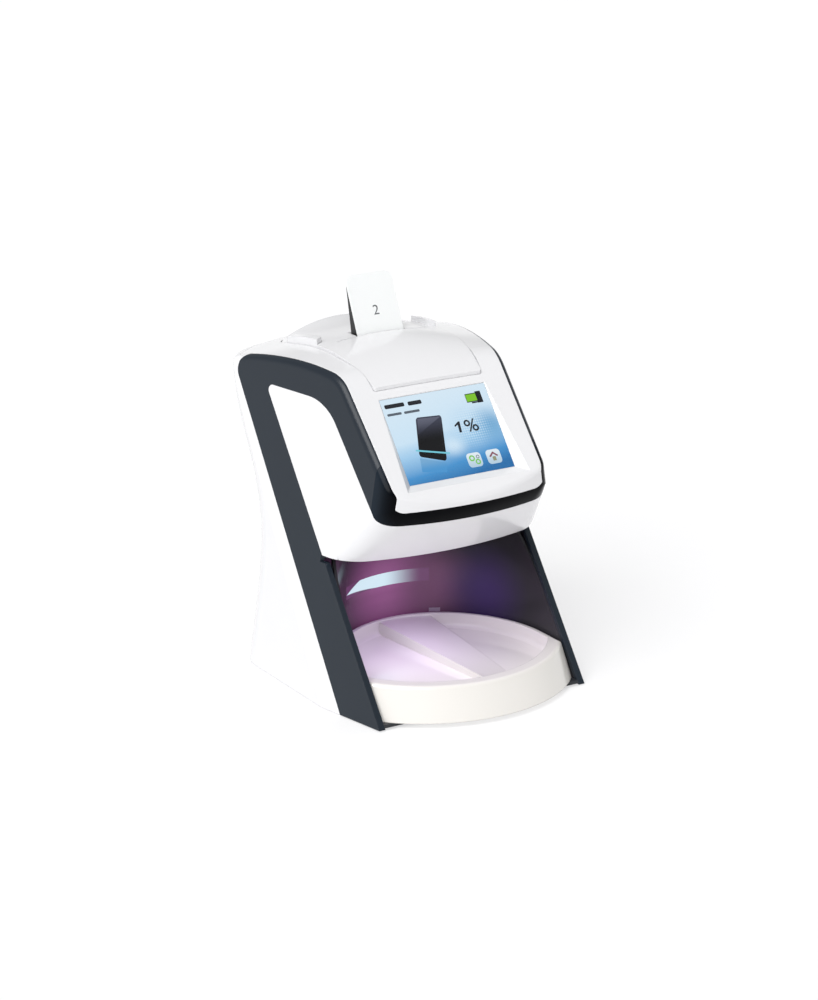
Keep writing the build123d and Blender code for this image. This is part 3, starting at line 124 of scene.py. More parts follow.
class Finish:
    """One material, built a node at a time round its shader."""

    def __init__(self, name, sockets=()):
        self.material = bpy.data.materials.new(name)
        self.material.use_nodes = True
        self.shader = self.material.node_tree.nodes["Principled BSDF"]
        self.set(sockets)

    def node(self, kind, settings=(), sockets=(), output=0):
        """Adds a node: its settings first, then the values or wires of its sockets."""
        made = self.material.node_tree.nodes.new(kind)
        for key, value in dict(settings).items():
            if key == "stops":
                while len(made.color_ramp.elements) < len(value):
                    made.color_ramp.elements.new(1.0)
                for stop, (place, colour) in zip(made.color_ramp.elements, value):
                    stop.position = place
                    stop.color = colour
            else:
                setattr(made, key, value)
        for key, value in dict(sockets).items():
            self.feed(made.inputs[key], value)
        return Wire(self, made.outputs[output])

    def feed(self, socket, value):
        if isinstance(value, Wire):
            self.material.node_tree.links.new(value.socket, socket)
        else:
            socket.default_value = value

    def set(self, sockets):
        for key, value in dict(sockets).items():
            self.feed(self.shader.inputs[key], value)

    def place(self):
        """The point on the piece, in metres, which stays with the piece when it moves."""
        return self.node("ShaderNodeTexCoord", output=OBJECT_PLACE)

    def along(self, *direction):
        """How far the point lies along a direction, in metres."""
        return self.node(
            "ShaderNodeVectorMath",
            {"operation": "DOT_PRODUCT"},
            {0: self.place(), 1: direction},
            VECTOR_VALUE,
        )

    def noise(self, scale, detail=2.0, stretch=(1.0, 1.0, 1.0)):
        """Cloudy noise from 0 to 1, with its scale in turns to the metre."""
        spot = self.node(
            "ShaderNodeVectorMath", {"operation": "MULTIPLY"}, {0: self.place(), 1: stretch}
        )
        return self.node(
            "ShaderNodeTexNoise", {}, {"Vector": spot, "Scale": scale, "Detail": detail}
        )

    def ramp(self, amount, *stops):
        """Colours that change with an amount; each stop is its place and a colour."""
        return self.node("ShaderNodeValToRGB", {"stops": stops}, {0: amount})

    def clamp(self, amount, low=0.0, high=1.0):
        """The amount's share of the way from low to high, held between 0 and 1."""
        return self.node(
            "ShaderNodeMapRange",
            {"interpolation_type": "SMOOTHSTEP"},
            {"Value": amount, "From Min": low, "From Max": high},
        )

    def mix(self, amount, first, second):
        """A colour between two, by an amount."""
        sockets = {MIX_FACTOR: amount, MIX_FIRST: first, MIX_SECOND: second}
        return self.node("ShaderNodeMix", {"data_type": "RGBA"}, sockets, MIX_COLOUR)

    def bump(self, height, depth, edge=0.0):
        """Relief of a depth in metres from a height of 0 to 1; edge is a radius for sharp edges."""
        sockets = {"Height": height, "Strength": 1.0, "Distance": depth}
        if edge:
            sockets["Normal"] = self.node(
                "ShaderNodeBevel", {"samples": BEVEL_SAMPLES}, {"Radius": edge}
            )
        return self.node("ShaderNodeBump", {}, sockets)


def colour(red, green, blue):
    """A colour as a paint chart gives it, 0 to 255, in the light's own scale."""
    return tuple((part / 255.0) ** GAMMA for part in (red, green, blue)) + (1.0,)


def shade(tone, factor):
    """The same colour, darker or lighter by a factor."""
    return tuple(min(part * factor, 1.0) for part in tone[:3]) + (1.0,)


PATCH_SCALE = 28.0
TOUCH_SCALE = 60.0
TOUCH_STRETCH = (1.0, 1.0, 0.45)


def moulded(
    name, tone, gloss,
    skin=0.012, skin_size=0.9, cloud=0.03, smear=0.04, coat=0.0, shine=0.5, edge=0.0,
):
    """Moulded plastic: a faintly uneven colour, a fine skin and handling marks in the gloss.

    Depth and size of the skin's grain and the radius of the edges are in millimetres.
    """
    made = Finish(name, {"Coat Weight": coat, "Coat Roughness": 0.05, "Specular IOR Level": shine})
    patches = made.noise(PATCH_SCALE, 3.0)
    touch = made.noise(TOUCH_SCALE, 5.0, TOUCH_STRETCH)
    relief = made.noise(1.0 / (skin_size * MM), 2.0)
    made.set({
        "Base Color": made.mix(patches, shade(tone, 1.0 - cloud), shade(tone, 1.0 + cloud)),
        "Roughness": gloss + smear * (touch - 0.5),
        "Normal": made.bump(relief, skin * MM, edge * MM),
    })
    return made


BLOTCH_SCALE = 45.0
TOOL_MARK = 0.006 * MM


def metal(name, tone, gloss, stretch=(1.0, 1.0, 1.0), size=0.6, wear=0.12):
    """Bare or plated metal; tool marks, sized in millimetres, run along stretch's low axis."""
    made = Finish(name, {"Metallic": 1.0})
    marks = made.noise(1.0 / (size * MM), 4.0, stretch)
    blotch = made.noise(BLOTCH_SCALE, 3.0)
    made.set({
        "Base Color": made.mix(blotch, shade(tone, 0.9), shade(tone, 1.06)),
        "Roughness": gloss + wear * (marks - 0.5) + 0.06 * (blotch - 0.5),
        "Normal": made.bump(marks, TOOL_MARK),
    })
    return made


def wear_on(node, made):
    """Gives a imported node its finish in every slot."""
    mesh = nodes[node].data
    mesh.materials.clear()
    mesh.materials.append(made.material)


RUBBER = colour(34, 34, 36)
SCREW_STEEL = colour(176, 178, 182)
wear_on("rubber_feet", moulded("soft_rubber", RUBBER, 0.82, skin=0.03, skin_size=0.5, cloud=0.15))
for node in ("base_screws", "frame_screws"):
    wear_on(node, metal(node + "_plated", SCREW_STEEL, 0.28, (0.2, 0.2, 1.0)))


# Base plate: a moulded grey-black floor that closes the body from below and carries
# the tray's runners; its threshold joins the two legs in front.
BASE_GREY = colour(44, 46, 50)
wear_on("base_plate", moulded("base_plate_abs", BASE_GREY, 0.5, skin=0.03, skin_size=0.7))


# Inner frame, scan frame and the screen's bracket: folded zinc-plated sheet, joined
# by screws. Rolling leaves fine lines along the sheet and the plating is mottled.
ZINC = colour(186, 189, 194)
for node, stretch in (
    ("inner_frame", (1.0, 0.12, 0.12)),
    ("scan_frame", (1.0, 0.15, 0.15)),
    ("screen_bracket", (0.15, 1.0, 1.0)),
):
    wear_on(node, metal(node + "_zinc", ZINC, 0.36, stretch))


# Optics bench and what it carries: a black-coated aluminium bench, the laser's brass
# barrel, the mirror wheel with polished facets on its motor, guide and detector.
BENCH_BLACK = colour(30, 30, 32)
BARREL_BRASS = colour(196, 164, 98)
MIRROR_SILVER = colour(226, 227, 230)
CASE_BLACK = colour(40, 40, 42)
GUIDE_CLEAR = colour(216, 228, 238)
wear_on("optics_bench", moulded("bench_anodised", BENCH_BLACK, 0.55, skin=0.02, skin_size=0.4))
wear_on("laser_module", metal("laser_barrel", BARREL_BRASS, 0.22, (0.1, 1.0, 1.0)))
wear_on("polygon_mirror", metal("mirror_facets", MIRROR_SILVER, 0.05, size=1.5, wear=0.02))
wear_on("polygon_motor", moulded("mirror_motor_case", CASE_BLACK, 0.45))
wear_on("photomultiplier", moulded("detector_case", CASE_BLACK, 0.38, skin=0.02))
guide = moulded("light_guide_acrylic", GUIDE_CLEAR, 0.06, skin=0.002, skin_size=2.0, smear=0.02)
guide.set({"Transmission Weight": 0.85, "IOR": 1.49})
wear_on("light_guide", guide)


# Circuit boards: green solder mask over copper runs, with gold pads. The erase and
# strip boards are small aluminium-backed boards that carry only light sources.
MASK_GREEN = colour(18, 74, 46)
RUN_GREEN = colour(34, 108, 66)
PAD_GOLD = colour(206, 176, 106)
BOARD_WHITE = colour(224, 224, 218)
RUN_WHITE = shade(BOARD_WHITE, 0.9)
MAIN_PITCH = 1.6 * MM
LAMP_PITCH = 2.0 * MM
RUN_HALF_WIDTH = 0.22
RUN_SHARE = 0.5
PAD_REACH_SQUARED = 0.018
PAD_SHARE = 0.53
COPPER_RISE = 0.03 * MM


def circuit(name, mask, run, pitch):
    """A board's face: upright parallel runs that break off, and rows of round pads."""
    made = Finish(name, {"Coat Weight": 0.3, "Coat Roughness": 0.15})
    column = made.along(1, 0, 0) / pitch
    row = made.along(0, 0, 1) / pitch
    lane = made.noise(0.35 / pitch, 0.0, (0.15, 0.15, 1.15))
    run_mask = (abs(column % 1.0 - 0.5) < RUN_HALF_WIDTH) * (lane > RUN_SHARE)
    reach = (column * 0.5 % 1.0 - 0.5) ** 2.0 + (row * 0.5 % 1.0 - 0.5) ** 2.0
    pad_mask = (reach < PAD_REACH_SQUARED) * (made.noise(0.12 / pitch, 0.0) > PAD_SHARE)
    ground = made.mix(run_mask, mask, run)
    made.set({
        "Base Color": made.mix(pad_mask, ground, PAD_GOLD),
        "Metallic": pad_mask,
        "Roughness": 0.42 - 0.12 * pad_mask,
        "Normal": made.bump(run_mask + pad_mask, COPPER_RISE),
    })
    return made


wear_on("main_board", circuit("main_board_mask", MASK_GREEN, RUN_GREEN, MAIN_PITCH))
for node in ("erase_board", "strip_board"):
    wear_on(node, circuit(node + "_mask", BOARD_WHITE, RUN_WHITE, LAMP_PITCH))


# Feed of the plate: ground steel rods and a screw in the scan frame, a brass nut in
# an acetal carriage, and the black-lacquered motor under the lower flange.
ROD_STEEL = colour(200, 202, 206)
NUT_BRASS = colour(204, 172, 102)
ACETAL = colour(226, 226, 220)
THREAD_PITCH = 2.0 * MM
THREAD_DEPTH = 0.35 * MM
PATH_UP = Vector((0.0, 0.414693, 0.909961))
wear_on("guide_rods", metal("rod_ground_steel", ROD_STEEL, 0.16, (1.0, 1.0, 0.2)))
wear_on("lead_nut", metal("nut_turned_brass", NUT_BRASS, 0.25, (1.0, 0.2, 0.6)))
wear_on("plate_carriage", moulded("carriage_acetal", ACETAL, 0.42, skin=0.02, cloud=0.04))
wear_on("feed_motor", moulded("motor_lacquer", CASE_BLACK, 0.35, skin=0.015, skin_size=0.3))
screw_finish = Finish("screw_rolled_thread", {"Metallic": 1.0})
thread = screw_finish.along(*PATH_UP) / THREAD_PITCH % 1.0
flank = abs(thread - 0.5) * 2.0
screw_finish.set({
    "Base Color": screw_finish.mix(flank, shade(ROD_STEEL, 0.55), ROD_STEEL),
    "Roughness": 0.34 - 0.14 * flank,
    "Normal": screw_finish.bump(flank, THREAD_DEPTH),
})
wear_on("lead_screw", screw_finish)


# Plate holder and imaging plate: a matt black moulded wedge carries the plate from
# behind. The plate is a thin satin card with a plain size number printed on it.
HOLDER_BLACK = colour(26, 27, 30)
PLATE_WHITE = colour(236, 238, 238)
INK_GREY = colour(92, 94, 98)
PATH_FOOT = Vector((0.0, 38.7, 197.3)) * MM
PATH_FRONT = Vector((0.0, -0.909961, 0.414693))
PLATE_THICKNESS = 1.0 * MM
NUMBER_UP = 12.4 * MM
NUMBER_HEIGHT = 6.2 * MM
FONT_SIZE_TO_HEIGHT = 1.35
INK = 0.03 * MM
X_AXIS = Vector((1.0, 0.0, 0.0))
wear_on("plate_holder", moulded("holder_matt_abs", HOLDER_BLACK, 0.48, skin=0.03, skin_size=0.5))
card = moulded("plate_satin_card", PLATE_WHITE, 0.32, skin=0.006, skin_size=0.35, cloud=0.015)
wear_on("imaging_plate", card)


def piece(name, mesh, body, made):
    """A new piece of mesh: its finish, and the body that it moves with."""
    made_object = bpy.data.objects.new(name, mesh)
    bpy.context.scene.collection.objects.link(made_object)
    mesh.materials.clear()
    mesh.materials.append(made.material)
    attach(made_object, body)


def lettered(name, text, size, origin, across, upward, thickness):
    """A printed figure as a thin solid on a plane; origin is its middle."""
    curve = bpy.data.curves.new(name + "_outline", "FONT")
    curve.body = text
    curve.size = size
    curve.align_x = "CENTER"
    curve.align_y = "CENTER"
    curve.extrude = thickness / 2
    carrier = bpy.data.objects.new(name + "_outline", curve)
    bpy.context.scene.collection.objects.link(carrier)
    bpy.context.view_layer.update()
    drawn_text = carrier.evaluated_get(bpy.context.evaluated_depsgraph_get())
    mesh = bpy.data.meshes.new_from_object(drawn_text)
    bpy.data.objects.remove(carrier)
    mesh.name = name
    facing = across.cross(upward)
    mesh.transform(
        Matrix.Translation(origin) @ Matrix((across, upward, facing)).transposed().to_4x4()
    )
    return mesh


ink = moulded("printed_ink", INK_GREY, 0.5, skin=0.004, skin_size=0.2, cloud=0.08)
number_place = PATH_FOOT + NUMBER_UP * PATH_UP + (PLATE_THICKNESS + INK / 2) * PATH_FRONT
number_size = NUMBER_HEIGHT * FONT_SIZE_TO_HEIGHT
piece(
    "plate_size_number",
    lettered("plate_size_number", "2", number_size, number_place, X_AXIS, PATH_UP, INK),
    "plate",
    ink,
)


# Niche liner: one glossy dark moulding round the back of the niche and under the
# head. The magenta glow that the lamps behind the strip cast on it is painted light,
# given as emission, and turns to indigo where the wall bends to the right.
LINER_DARK = colour(50, 49, 52)
LINER_LEAST_PAINTED_GLOW = colour(3, 2, 4)
SENSOR_GREY = colour(150, 136, 150)
# Each painted glow has its middle, its reach and its colour.
LINER_PAINTED_GLOWS = (
    (Vector((-2.0, 31.0, 42.0)) * MM, 46.0 * MM, colour(134, 76, 124)),
    (Vector((30.0, 24.0, 40.0)) * MM, 32.0 * MM, colour(92, 56, 84)),
    (Vector((52.0, 4.0, 38.0)) * MM, 34.0 * MM, colour(38, 15, 70)),
)
liner = moulded("liner_gloss_painted_glow", LINER_DARK, 0.16, skin=0.006, skin_size=1.2, cloud=0.06, shine=0.25)
# Upright streaks vary the strength of the painted glow on the liner.
painted_glow_streaks = liner.noise(70.0, 3.0, (0.12, 0.12, 1.0))
painted_glow = LINER_LEAST_PAINTED_GLOW
for middle, reach, tone in LINER_PAINTED_GLOWS:
    away = liner.node(
        "ShaderNodeVectorMath",
        {"operation": "DISTANCE"},
        {0: liner.place(), 1: middle},
        VECTOR_VALUE,
    )
    painted_glow = liner.mix(liner.clamp(away, reach, 0.0) * (0.75 + 0.5 * painted_glow_streaks), painted_glow, tone)
liner.set({"Emission Color": painted_glow, "Emission Strength": 1.0})
wear_on("niche_liner", liner)
wear_on("tray_sensor", moulded("sensor_window_grey", SENSOR_GREY, 0.14, skin=0.004))


# Light strip: a clear diffusing window in the liner's back wall with the lamps
# behind it. The lamps light a slanted field that fades out to the right.
LENS_DARK = colour(40, 34, 46)
LENS_LIT = colour(206, 228, 240)
LENS_HAZE = colour(96, 58, 92)
FIELD_TIP_X, FIELD_TIP_Z = -33.8, 44.7
FIELD_RISE = 0.411
FIELD_DROP = 0.107
UPPER_EDGE = (-0.3, 0.3)
LOWER_EDGE = (-0.2, 0.4)
FADE_TO_RIGHT = (56.0, 30.0)
strip = moulded("strip_diffuser", LENS_DARK, 0.2, skin=0.004)
from_tip_x = strip.along(1, 0, 0) / MM - FIELD_TIP_X
from_tip_z = strip.along(0, 0, 1) / MM - FIELD_TIP_Z
lit_field = (
    strip.clamp(FIELD_RISE * from_tip_x - from_tip_z, *UPPER_EDGE)
    * strip.clamp(from_tip_z + FIELD_DROP * from_tip_x, *LOWER_EDGE)
    * strip.clamp(from_tip_x, *FADE_TO_RIGHT)
)
strip.set({
    "Emission Color": strip.mix(lit_field, LENS_HAZE, LENS_LIT),
    "Emission Strength": 1.0,
})
wear_on("light_strip_lens", strip)


# Eject flap: a small black moulded door in the niche's roof. It hangs on two stub pins
# and closes the slot through which a read plate drops into the tray.
FLAP_BLACK = colour(46, 44, 50)
wear_on("eject_flap", moulded("flap_satin_abs", FLAP_BLACK, 0.35, skin=0.02))


# White covers: underbody, rear shell, top shell and the lid, moulded in glossy white
# plastic and clipped together along thin parting lines.
GLOSS_WHITE = colour(224, 224, 226)
for node in ("underbody", "rear_shell", "top_shell", "top_lid"):
    wear_on(
        node,
        moulded(
            node + "_gloss", GLOSS_WHITE, 0.17, skin=0.004, skin_size=1.4,
            cloud=0.008, smear=0.05, coat=0.25, edge=0.5,
        ),
    )


# Side frames and the bumper: satin anthracite mouldings that run up each leg, over
# the head and round the nose. Towards the nose the bumper is painted darker, from the
# frames' anthracite to near black: painted shade, the nose being in shadow.
FRAME_DARK = colour(35, 42, 50)
BUMPER_PAINTED_SHADE = colour(5, 7, 12)
PAINTED_SHADE_START_Y = -46.0 * MM
PAINTED_SHADE_FULL_Y = -60.0 * MM
for node in ("side_frame_left", "side_frame_right"):
    wear_on(
        node,
        moulded(
            node + "_satin", FRAME_DARK, 0.34, skin_size=0.45,
            cloud=0.05, shine=0.3, edge=0.4,
        ),
    )
bumper = moulded(
    "bumper_gloss_painted_shade", BUMPER_PAINTED_SHADE, 0.2, skin=0.004, skin_size=0.45, shine=0.06, edge=0.4
)
# Painted shade: the bumper's colour runs from the frames' anthracite to near black towards the
# nose.
painted_shade_to_nose = bumper.clamp(bumper.along(0, 1, 0), PAINTED_SHADE_START_Y, PAINTED_SHADE_FULL_Y)
bumper.set({"Base Color": bumper.mix(painted_shade_to_nose, FRAME_DARK, BUMPER_PAINTED_SHADE)})
wear_on("front_bumper", bumper)


# Collecting tray: a heavy glossy white dish that slides out of the niche; a ramp
# inside it lets the plates slide down to the front.
TRAY_WHITE = colour(226, 223, 218)
wear_on(
    "collecting_tray",
    moulded(
        "tray_gloss", TRAY_WHITE, 0.14, skin=0.003, skin_size=1.6,
        cloud=0.008, smear=0.05, coat=0.3, edge=0.7,
    ),
)


# Display: a colour panel behind a flat touch glass. It shows a plain page: a blue
# ground with dots, a plate being read, its progress in percent and some buttons.
DISPLAY_MIDDLE = Vector((0.0, -35.4, 154.0)) * MM
DISPLAY_TILT = radians(38.86)
DISPLAY_UP = Vector((0.0, sin(DISPLAY_TILT), cos(DISPLAY_TILT)))
DISPLAY_FRONT = Vector((0.0, -cos(DISPLAY_TILT), sin(DISPLAY_TILT)))
PAGE_HEIGHT = 53.2 * MM
GLASS = 1.2 * MM
PAGE_LIGHT = 1.0
PAGE_DARK = colour(8, 10, 14)
PAGE_LEAN = 0.0022
SWELL = 0.16
SWELL_SCALE = 22.0
SWELL_STRETCH = (1.0, 0.6, 2.2)
PAGE_TONES = (
    (0.0, colour(44, 112, 172)),
    (0.16, colour(74, 148, 208)),
    (0.38, colour(166, 208, 240)),
    (0.54, colour(208, 232, 249)),
    (1.0, colour(218, 236, 249)),
)
SIDE_BLUE = colour(100, 162, 208)
MIDDLE_PALE = colour(222, 240, 252)
DOT_PITCH = 1.5 * MM
DOT_REACH_SQUARED = 0.13
DOT_PALE = colour(226, 242, 252)
DOT_GROUND = colour(120, 184, 228)

page = Finish(
    "display_page", {"Roughness": 0.3, "Base Color": PAGE_DARK, "Specular IOR Level": 0.2}
)
page_x = page.along(1, 0, 0)
page_y = page.along(*DISPLAY_UP) - DISPLAY_MIDDLE.dot(DISPLAY_UP)
height_share = page_y / PAGE_HEIGHT + 0.5
swell = page.noise(SWELL_SCALE, 1.0, SWELL_STRETCH)
ground = page.ramp(
    height_share + SWELL * (swell - 0.5) - PAGE_LEAN * page_x / MM, *PAGE_TONES
)


def page_spot(x, y, reach, stretch):
    """A round field of the page, 1 at its middle and 0 at its reach, in millimetres."""
    away = ((page_x / MM - x) / stretch) ** 2.0 + (page_y / MM - y) ** 2.0
    return page.clamp(away ** 0.5, reach, 0.0)


ground = page.mix(0.85 * page_spot(30.0, 2.0, 15.0, 1.1), ground, SIDE_BLUE)
ground = page.mix(0.8 * page_spot(2.0, -7.0, 9.0, 1.4), ground, MIDDLE_PALE)
dot_x = page_x / DOT_PITCH % 1.0 - 0.5
dot_y = page_y / DOT_PITCH % 1.0 - 0.5
dot_field = page_spot(17.0, 3.5, 17.0, 1.1)
dots = (dot_x ** 2.0 + dot_y ** 2.0 < DOT_REACH_SQUARED) * dot_field
ground = page.mix(0.3 * dot_field, ground, DOT_GROUND)
lit_page = page.mix(0.75 * dots, ground, DOT_PALE)
page.set({"Emission Color": lit_page, "Emission Strength": PAGE_LIGHT})
wear_on("lcd_panel", page)

PANE_CLEAR = colour(250, 252, 253)
PANE_IOR = 1.45
pane = Finish("touch_glass_pane")
clear = pane.node("ShaderNodeBsdfTransparent", {}, {"Color": PANE_CLEAR})
mirror = pane.node("ShaderNodeBsdfGlossy", {}, {"Roughness": 0.03})
grazing = pane.node("ShaderNodeFresnel", {}, {"IOR": PANE_IOR})
smears = pane.noise(70.0, 4.0, (1.0, 1.0, 0.4))
reflecting = grazing * (0.85 + 0.3 * smears)
blend = pane.node("ShaderNodeMixShader", {}, {0: reflecting, 1: clear, 2: mirror})
pane.feed(pane.material.node_tree.nodes["Material Output"].inputs["Surface"], blend)
wear_on("touch_glass", pane)


def page_point(x, y, lift):
    """A point on the page from its middle, in millimetres, and above the panel."""
    on_plane = x * MM * X_AXIS + y * MM * DISPLAY_UP
    return DISPLAY_MIDDLE + on_plane + (lift * MM - GLASS) * DISPLAY_FRONT


# Marks lie in three layers on the panel, so that none shares a plane with another.
MARK_THICKNESS = 0.02
LOW, HIGH, TOP = 0.02, 0.05, 0.08


def page_shape(outlines, lift):
    """Flat shapes on the page, each a list of corners in millimetres, as thin solids."""
    built = bmesh.new()
    for outline in outlines:
        low = [built.verts.new(page_point(x, y, lift)) for x, y in outline]
        high = [built.verts.new(page_point(x, y, lift + MARK_THICKNESS)) for x, y in outline]
        built.faces.new(high)
        built.faces.new(low[::-1])
        for i in range(len(outline)):
            j = (i + 1) % len(outline)
            built.faces.new((low[i], low[j], high[j], high[i]))
    mesh = bpy.data.meshes.new("page_shape")
    built.to_mesh(mesh)
    built.free()
    return mesh


def round_box(x, y, width, height, radius, steps=6):
    """Corners of a box with rounded corners, round its middle."""
    corners = []
    for turn, (side_x, side_y) in enumerate(((1, 1), (-1, 1), (-1, -1), (1, -1))):
        centre_x = x + side_x * (width / 2 - radius)
        centre_y = y + side_y * (height / 2 - radius)
        for step in range(steps + 1):
            angle = pi / 2 * (turn + step / steps)
            corners.append((centre_x + radius * cos(angle), centre_y + radius * sin(angle)))
    return corners


HALF_SLIT = 0.01


def ring(x, y, outer, inner, steps=24):
    """A ring as one outline that runs round outside, then back inside, with a hair's slit."""
    turn = 2 * pi - 2 * HALF_SLIT
    angles = [HALF_SLIT + turn * i / steps for i in range(steps + 1)]
    round_outside = [(x + outer * cos(a), y + outer * sin(a)) for a in angles]
    return round_outside + [(x + inner * cos(a), y + inner * sin(a)) for a in angles[::-1]]


PIXEL_ROW = 0.2 * MM
MARK_UNLIT = colour(4, 4, 5)


def lit(name, tone, low=None, top=0.0, bottom=0.0):
    """A colour on the lit page, in rows of pixels, or one that fades downwards to low."""
    made = Finish(name, {"Base Color": MARK_UNLIT, "Roughness": 0.3, "Specular IOR Level": 0.2})
    if low:
        height = made.along(*DISPLAY_UP) - DISPLAY_MIDDLE.dot(DISPLAY_UP)
        shown = made.mix(made.clamp(height, bottom * MM, top * MM), low, tone)
    else:
        rows = made.along(*DISPLAY_UP) / PIXEL_ROW % 1.0
        shown = made.mix(rows, shade(tone, 0.97), tone)
    made.set({"Emission Color": shown, "Emission Strength": PAGE_LIGHT})
    return made


def on_page(name, outlines, lift, ink):
    """Flat marks on the lit page, which stay with the housing."""
    piece(name, page_shape(outlines, lift), "housing", ink)


def leaned(top_left, top_right, low_right, low_left, radius):
    """A box with rounded corners drawn between four corners that lean, as if seen askew."""
    outline = []
    for x, y in round_box(0.0, 0.0, 1.0, 1.0, radius):
        right, up = x + 0.5, y + 0.5
        outline.append(tuple(
            up * ((1 - right) * top_left[i] + right * top_right[i])
            + (1 - up) * ((1 - right) * low_left[i] + right * low_right[i])
            for i in (0, 1)
        ))
    return outline


# Two rows of plain bars stand for lines of text at the page's upper left.
dark_ink = lit("page_dark_ink", colour(36, 38, 44))
grey_ink = lit("page_grey_ink", colour(92, 100, 110))
upper_bars = [round_box(-26.1, 22.5, 13.0, 2.5, 0.8), round_box(-12.7, 22.3, 9.0, 2.5, 0.8)]
lower_bars = [round_box(-27.9, 17.4, 9.4, 1.5, 0.5), round_box(-16.4, 17.3, 10.2, 1.5, 0.5)]
on_page("page_bar_upper", upper_bars, LOW, dark_ink)
on_page("page_bar_lower", lower_bars, LOW, grey_ink)

# The plate in the middle, with its reflection below it and the line that reads it.
mirrored = lit(
    "page_reflection_ink", colour(122, 172, 212), low=colour(78, 150, 208), top=-12.0, bottom=-20.0
)
reflection = leaned((-22.0, -11.0), (-6.3, -16.6), (-8.1, -22.2), (-23.6, -19.5), 0.02)
on_page("page_reflection", [reflection], LOW, mirrored)
plate_ink = lit(
    "page_plate_ink", colour(66, 68, 84), low=colour(12, 13, 18), top=13.0, bottom=-2.0
)
plate_shown = leaned((-15.6, 13.2), (1.2, 12.2), (-5.7, -15.7), (-22.0, -10.2), 0.09)
on_page("page_plate", [plate_shown], HIGH, plate_ink)
gleam_ink = lit(
    "page_gleam_ink", colour(96, 98, 114), low=colour(50, 52, 66), top=12.0, bottom=3.0
)
gleam = [(-14.8, 12.3), (0.2, 11.4), (-17.4, 3.0)]
on_page("page_plate_gleam", [gleam], TOP, gleam_ink)
scan_line = [(-23.0, -6.7), (-2.2, -11.9), (-2.0, -10.9), (-22.8, -5.7)]
cyan_ink = lit("page_scan_line_ink", colour(120, 204, 222))
on_page("page_scan_line", [scan_line], TOP + LOW, cyan_ink)

# The progress, one percent: a figure one, two rings and a slash.
digit_one = [
    (8.9, -0.3), (10.5, -0.3), (11.3, 6.5), (10.2, 6.5), (7.2, 4.6), (7.1, 3.5), (9.4, 4.6)
]
slash = [(15.4, -0.9), (16.5, -0.9), (20.9, 6.9), (19.8, 6.9)]
percent_rings = [ring(15.6, 4.6, 2.1, 1.0), ring(20.3, 1.1, 2.1, 1.0)]
on_page("page_percent", [digit_one, *percent_rings, slash], LOW, dark_ink)

# Two buttons at the lower right, one with rings on it and one with a house.
white_ink = lit(
    "page_button_ink", colour(230, 240, 246), low=colour(186, 210, 226), top=-14.0, bottom=-22.0
)
buttons = [round_box(x, -18.0, 9.4, 8.8, 2.2) for x in (12.0, 25.0)]
on_page("page_buttons", buttons, LOW, white_ink)
green_ink = lit("page_green_ink", colour(126, 200, 96))
green_rings = [ring(10.6, -16.8, 1.9, 1.0), ring(13.9, -19.4, 1.7, 0.9)]
on_page("page_button_rings", green_rings, HIGH, green_ink)
on_page("page_button_ring", [ring(14.6, -16.4, 1.1, 0.7)], HIGH, grey_ink)
roof = [(22.0, -17.6), (25.0, -14.9), (28.0, -17.6), (27.2, -18.3), (25.0, -16.3), (22.8, -18.3)]
on_page("page_button_roof", [roof], HIGH, lit("page_red_ink", colour(140, 84, 96)))
house = round_box(25.0, -19.3, 2.2, 2.6, 0.2)
on_page("page_button_house", [house], HIGH, lit("page_tan_ink", colour(150, 150, 120)))

# A small computer at the upper right: its monitor on a foot, its case, its screen.
computer = [
    round_box(24.7, 19.4, 8.0, 5.4, 0.3),
    round_box(25.8, 16.2, 4.2, 0.8, 0.2),
    round_box(29.6, 19.2, 3.6, 7.2, 0.3),
]
on_page("page_computer_case", computer, LOW, lit("page_black_ink", colour(24, 28, 34)))
monitor_lit = round_box(24.4, 19.4, 6.8, 4.4, 0.2)
lime_ink = lit("page_lime_ink", colour(128, 198, 46))
on_page("page_computer_screen", [monitor_lit], HIGH, lime_ink)


# Back of the scanner: a pressed steel panel with a power inlet, a network socket and
# a rocker switch, all in black moulded plastic.
SOCKET_BLACK = colour(30, 30, 31)
ROCKER_BLACK = colour(22, 22, 23)
wear_on("rear_panel", metal("rear_panel_zinc", ZINC, 0.4, (1.0, 0.15, 0.15)))
for node in ("power_inlet", "network_socket", "switch_body"):
    wear_on(node, moulded(node + "_abs", SOCKET_BLACK, 0.4, skin=0.02, skin_size=0.4))
wear_on("switch_rocker", moulded("rocker_abs", ROCKER_BLACK, 0.3, skin=0.015, skin_size=0.6))


# Light table: a pale, faintly lit sheet of paper under the scanner that runs back out
# of sight. It is the stage, and not part of the scanner.
FLOOR_REACH = 6.0
TABLE_GLOW = 0.61
PAPER_TONES = (colour(160, 160, 161), colour(164, 164, 165))
PAPER_LIT_TONES = (colour(251, 251, 252), colour(255, 255, 255))
CORNERS = ((-1, -1), (1, -1), (1, 1), (-1, 1))
floor_mesh = bpy.data.meshes.new("studio_floor")
floor_mesh.from_pydata(
    [(x * FLOOR_REACH, y * FLOOR_REACH, 0.0) for x, y in CORNERS], [], [(0, 1, 2, 3)]
)
floor = bpy.data.objects.new("studio_floor", floor_mesh)
bpy.context.scene.collection.objects.link(floor)
floor_finish = Finish("studio_paper", {"Specular IOR Level": 0.2})
paper = floor_finish.noise(6.0, 4.0)
floor_finish.set({
    "Base Color": floor_finish.mix(paper, *PAPER_TONES),
    "Roughness": 0.7 + 0.1 * paper,
    "Emission Color": floor_finish.mix(paper, *PAPER_LIT_TONES),
    "Emission Strength": TABLE_GLOW,
})
floor_mesh.materials.append(floor_finish.material)


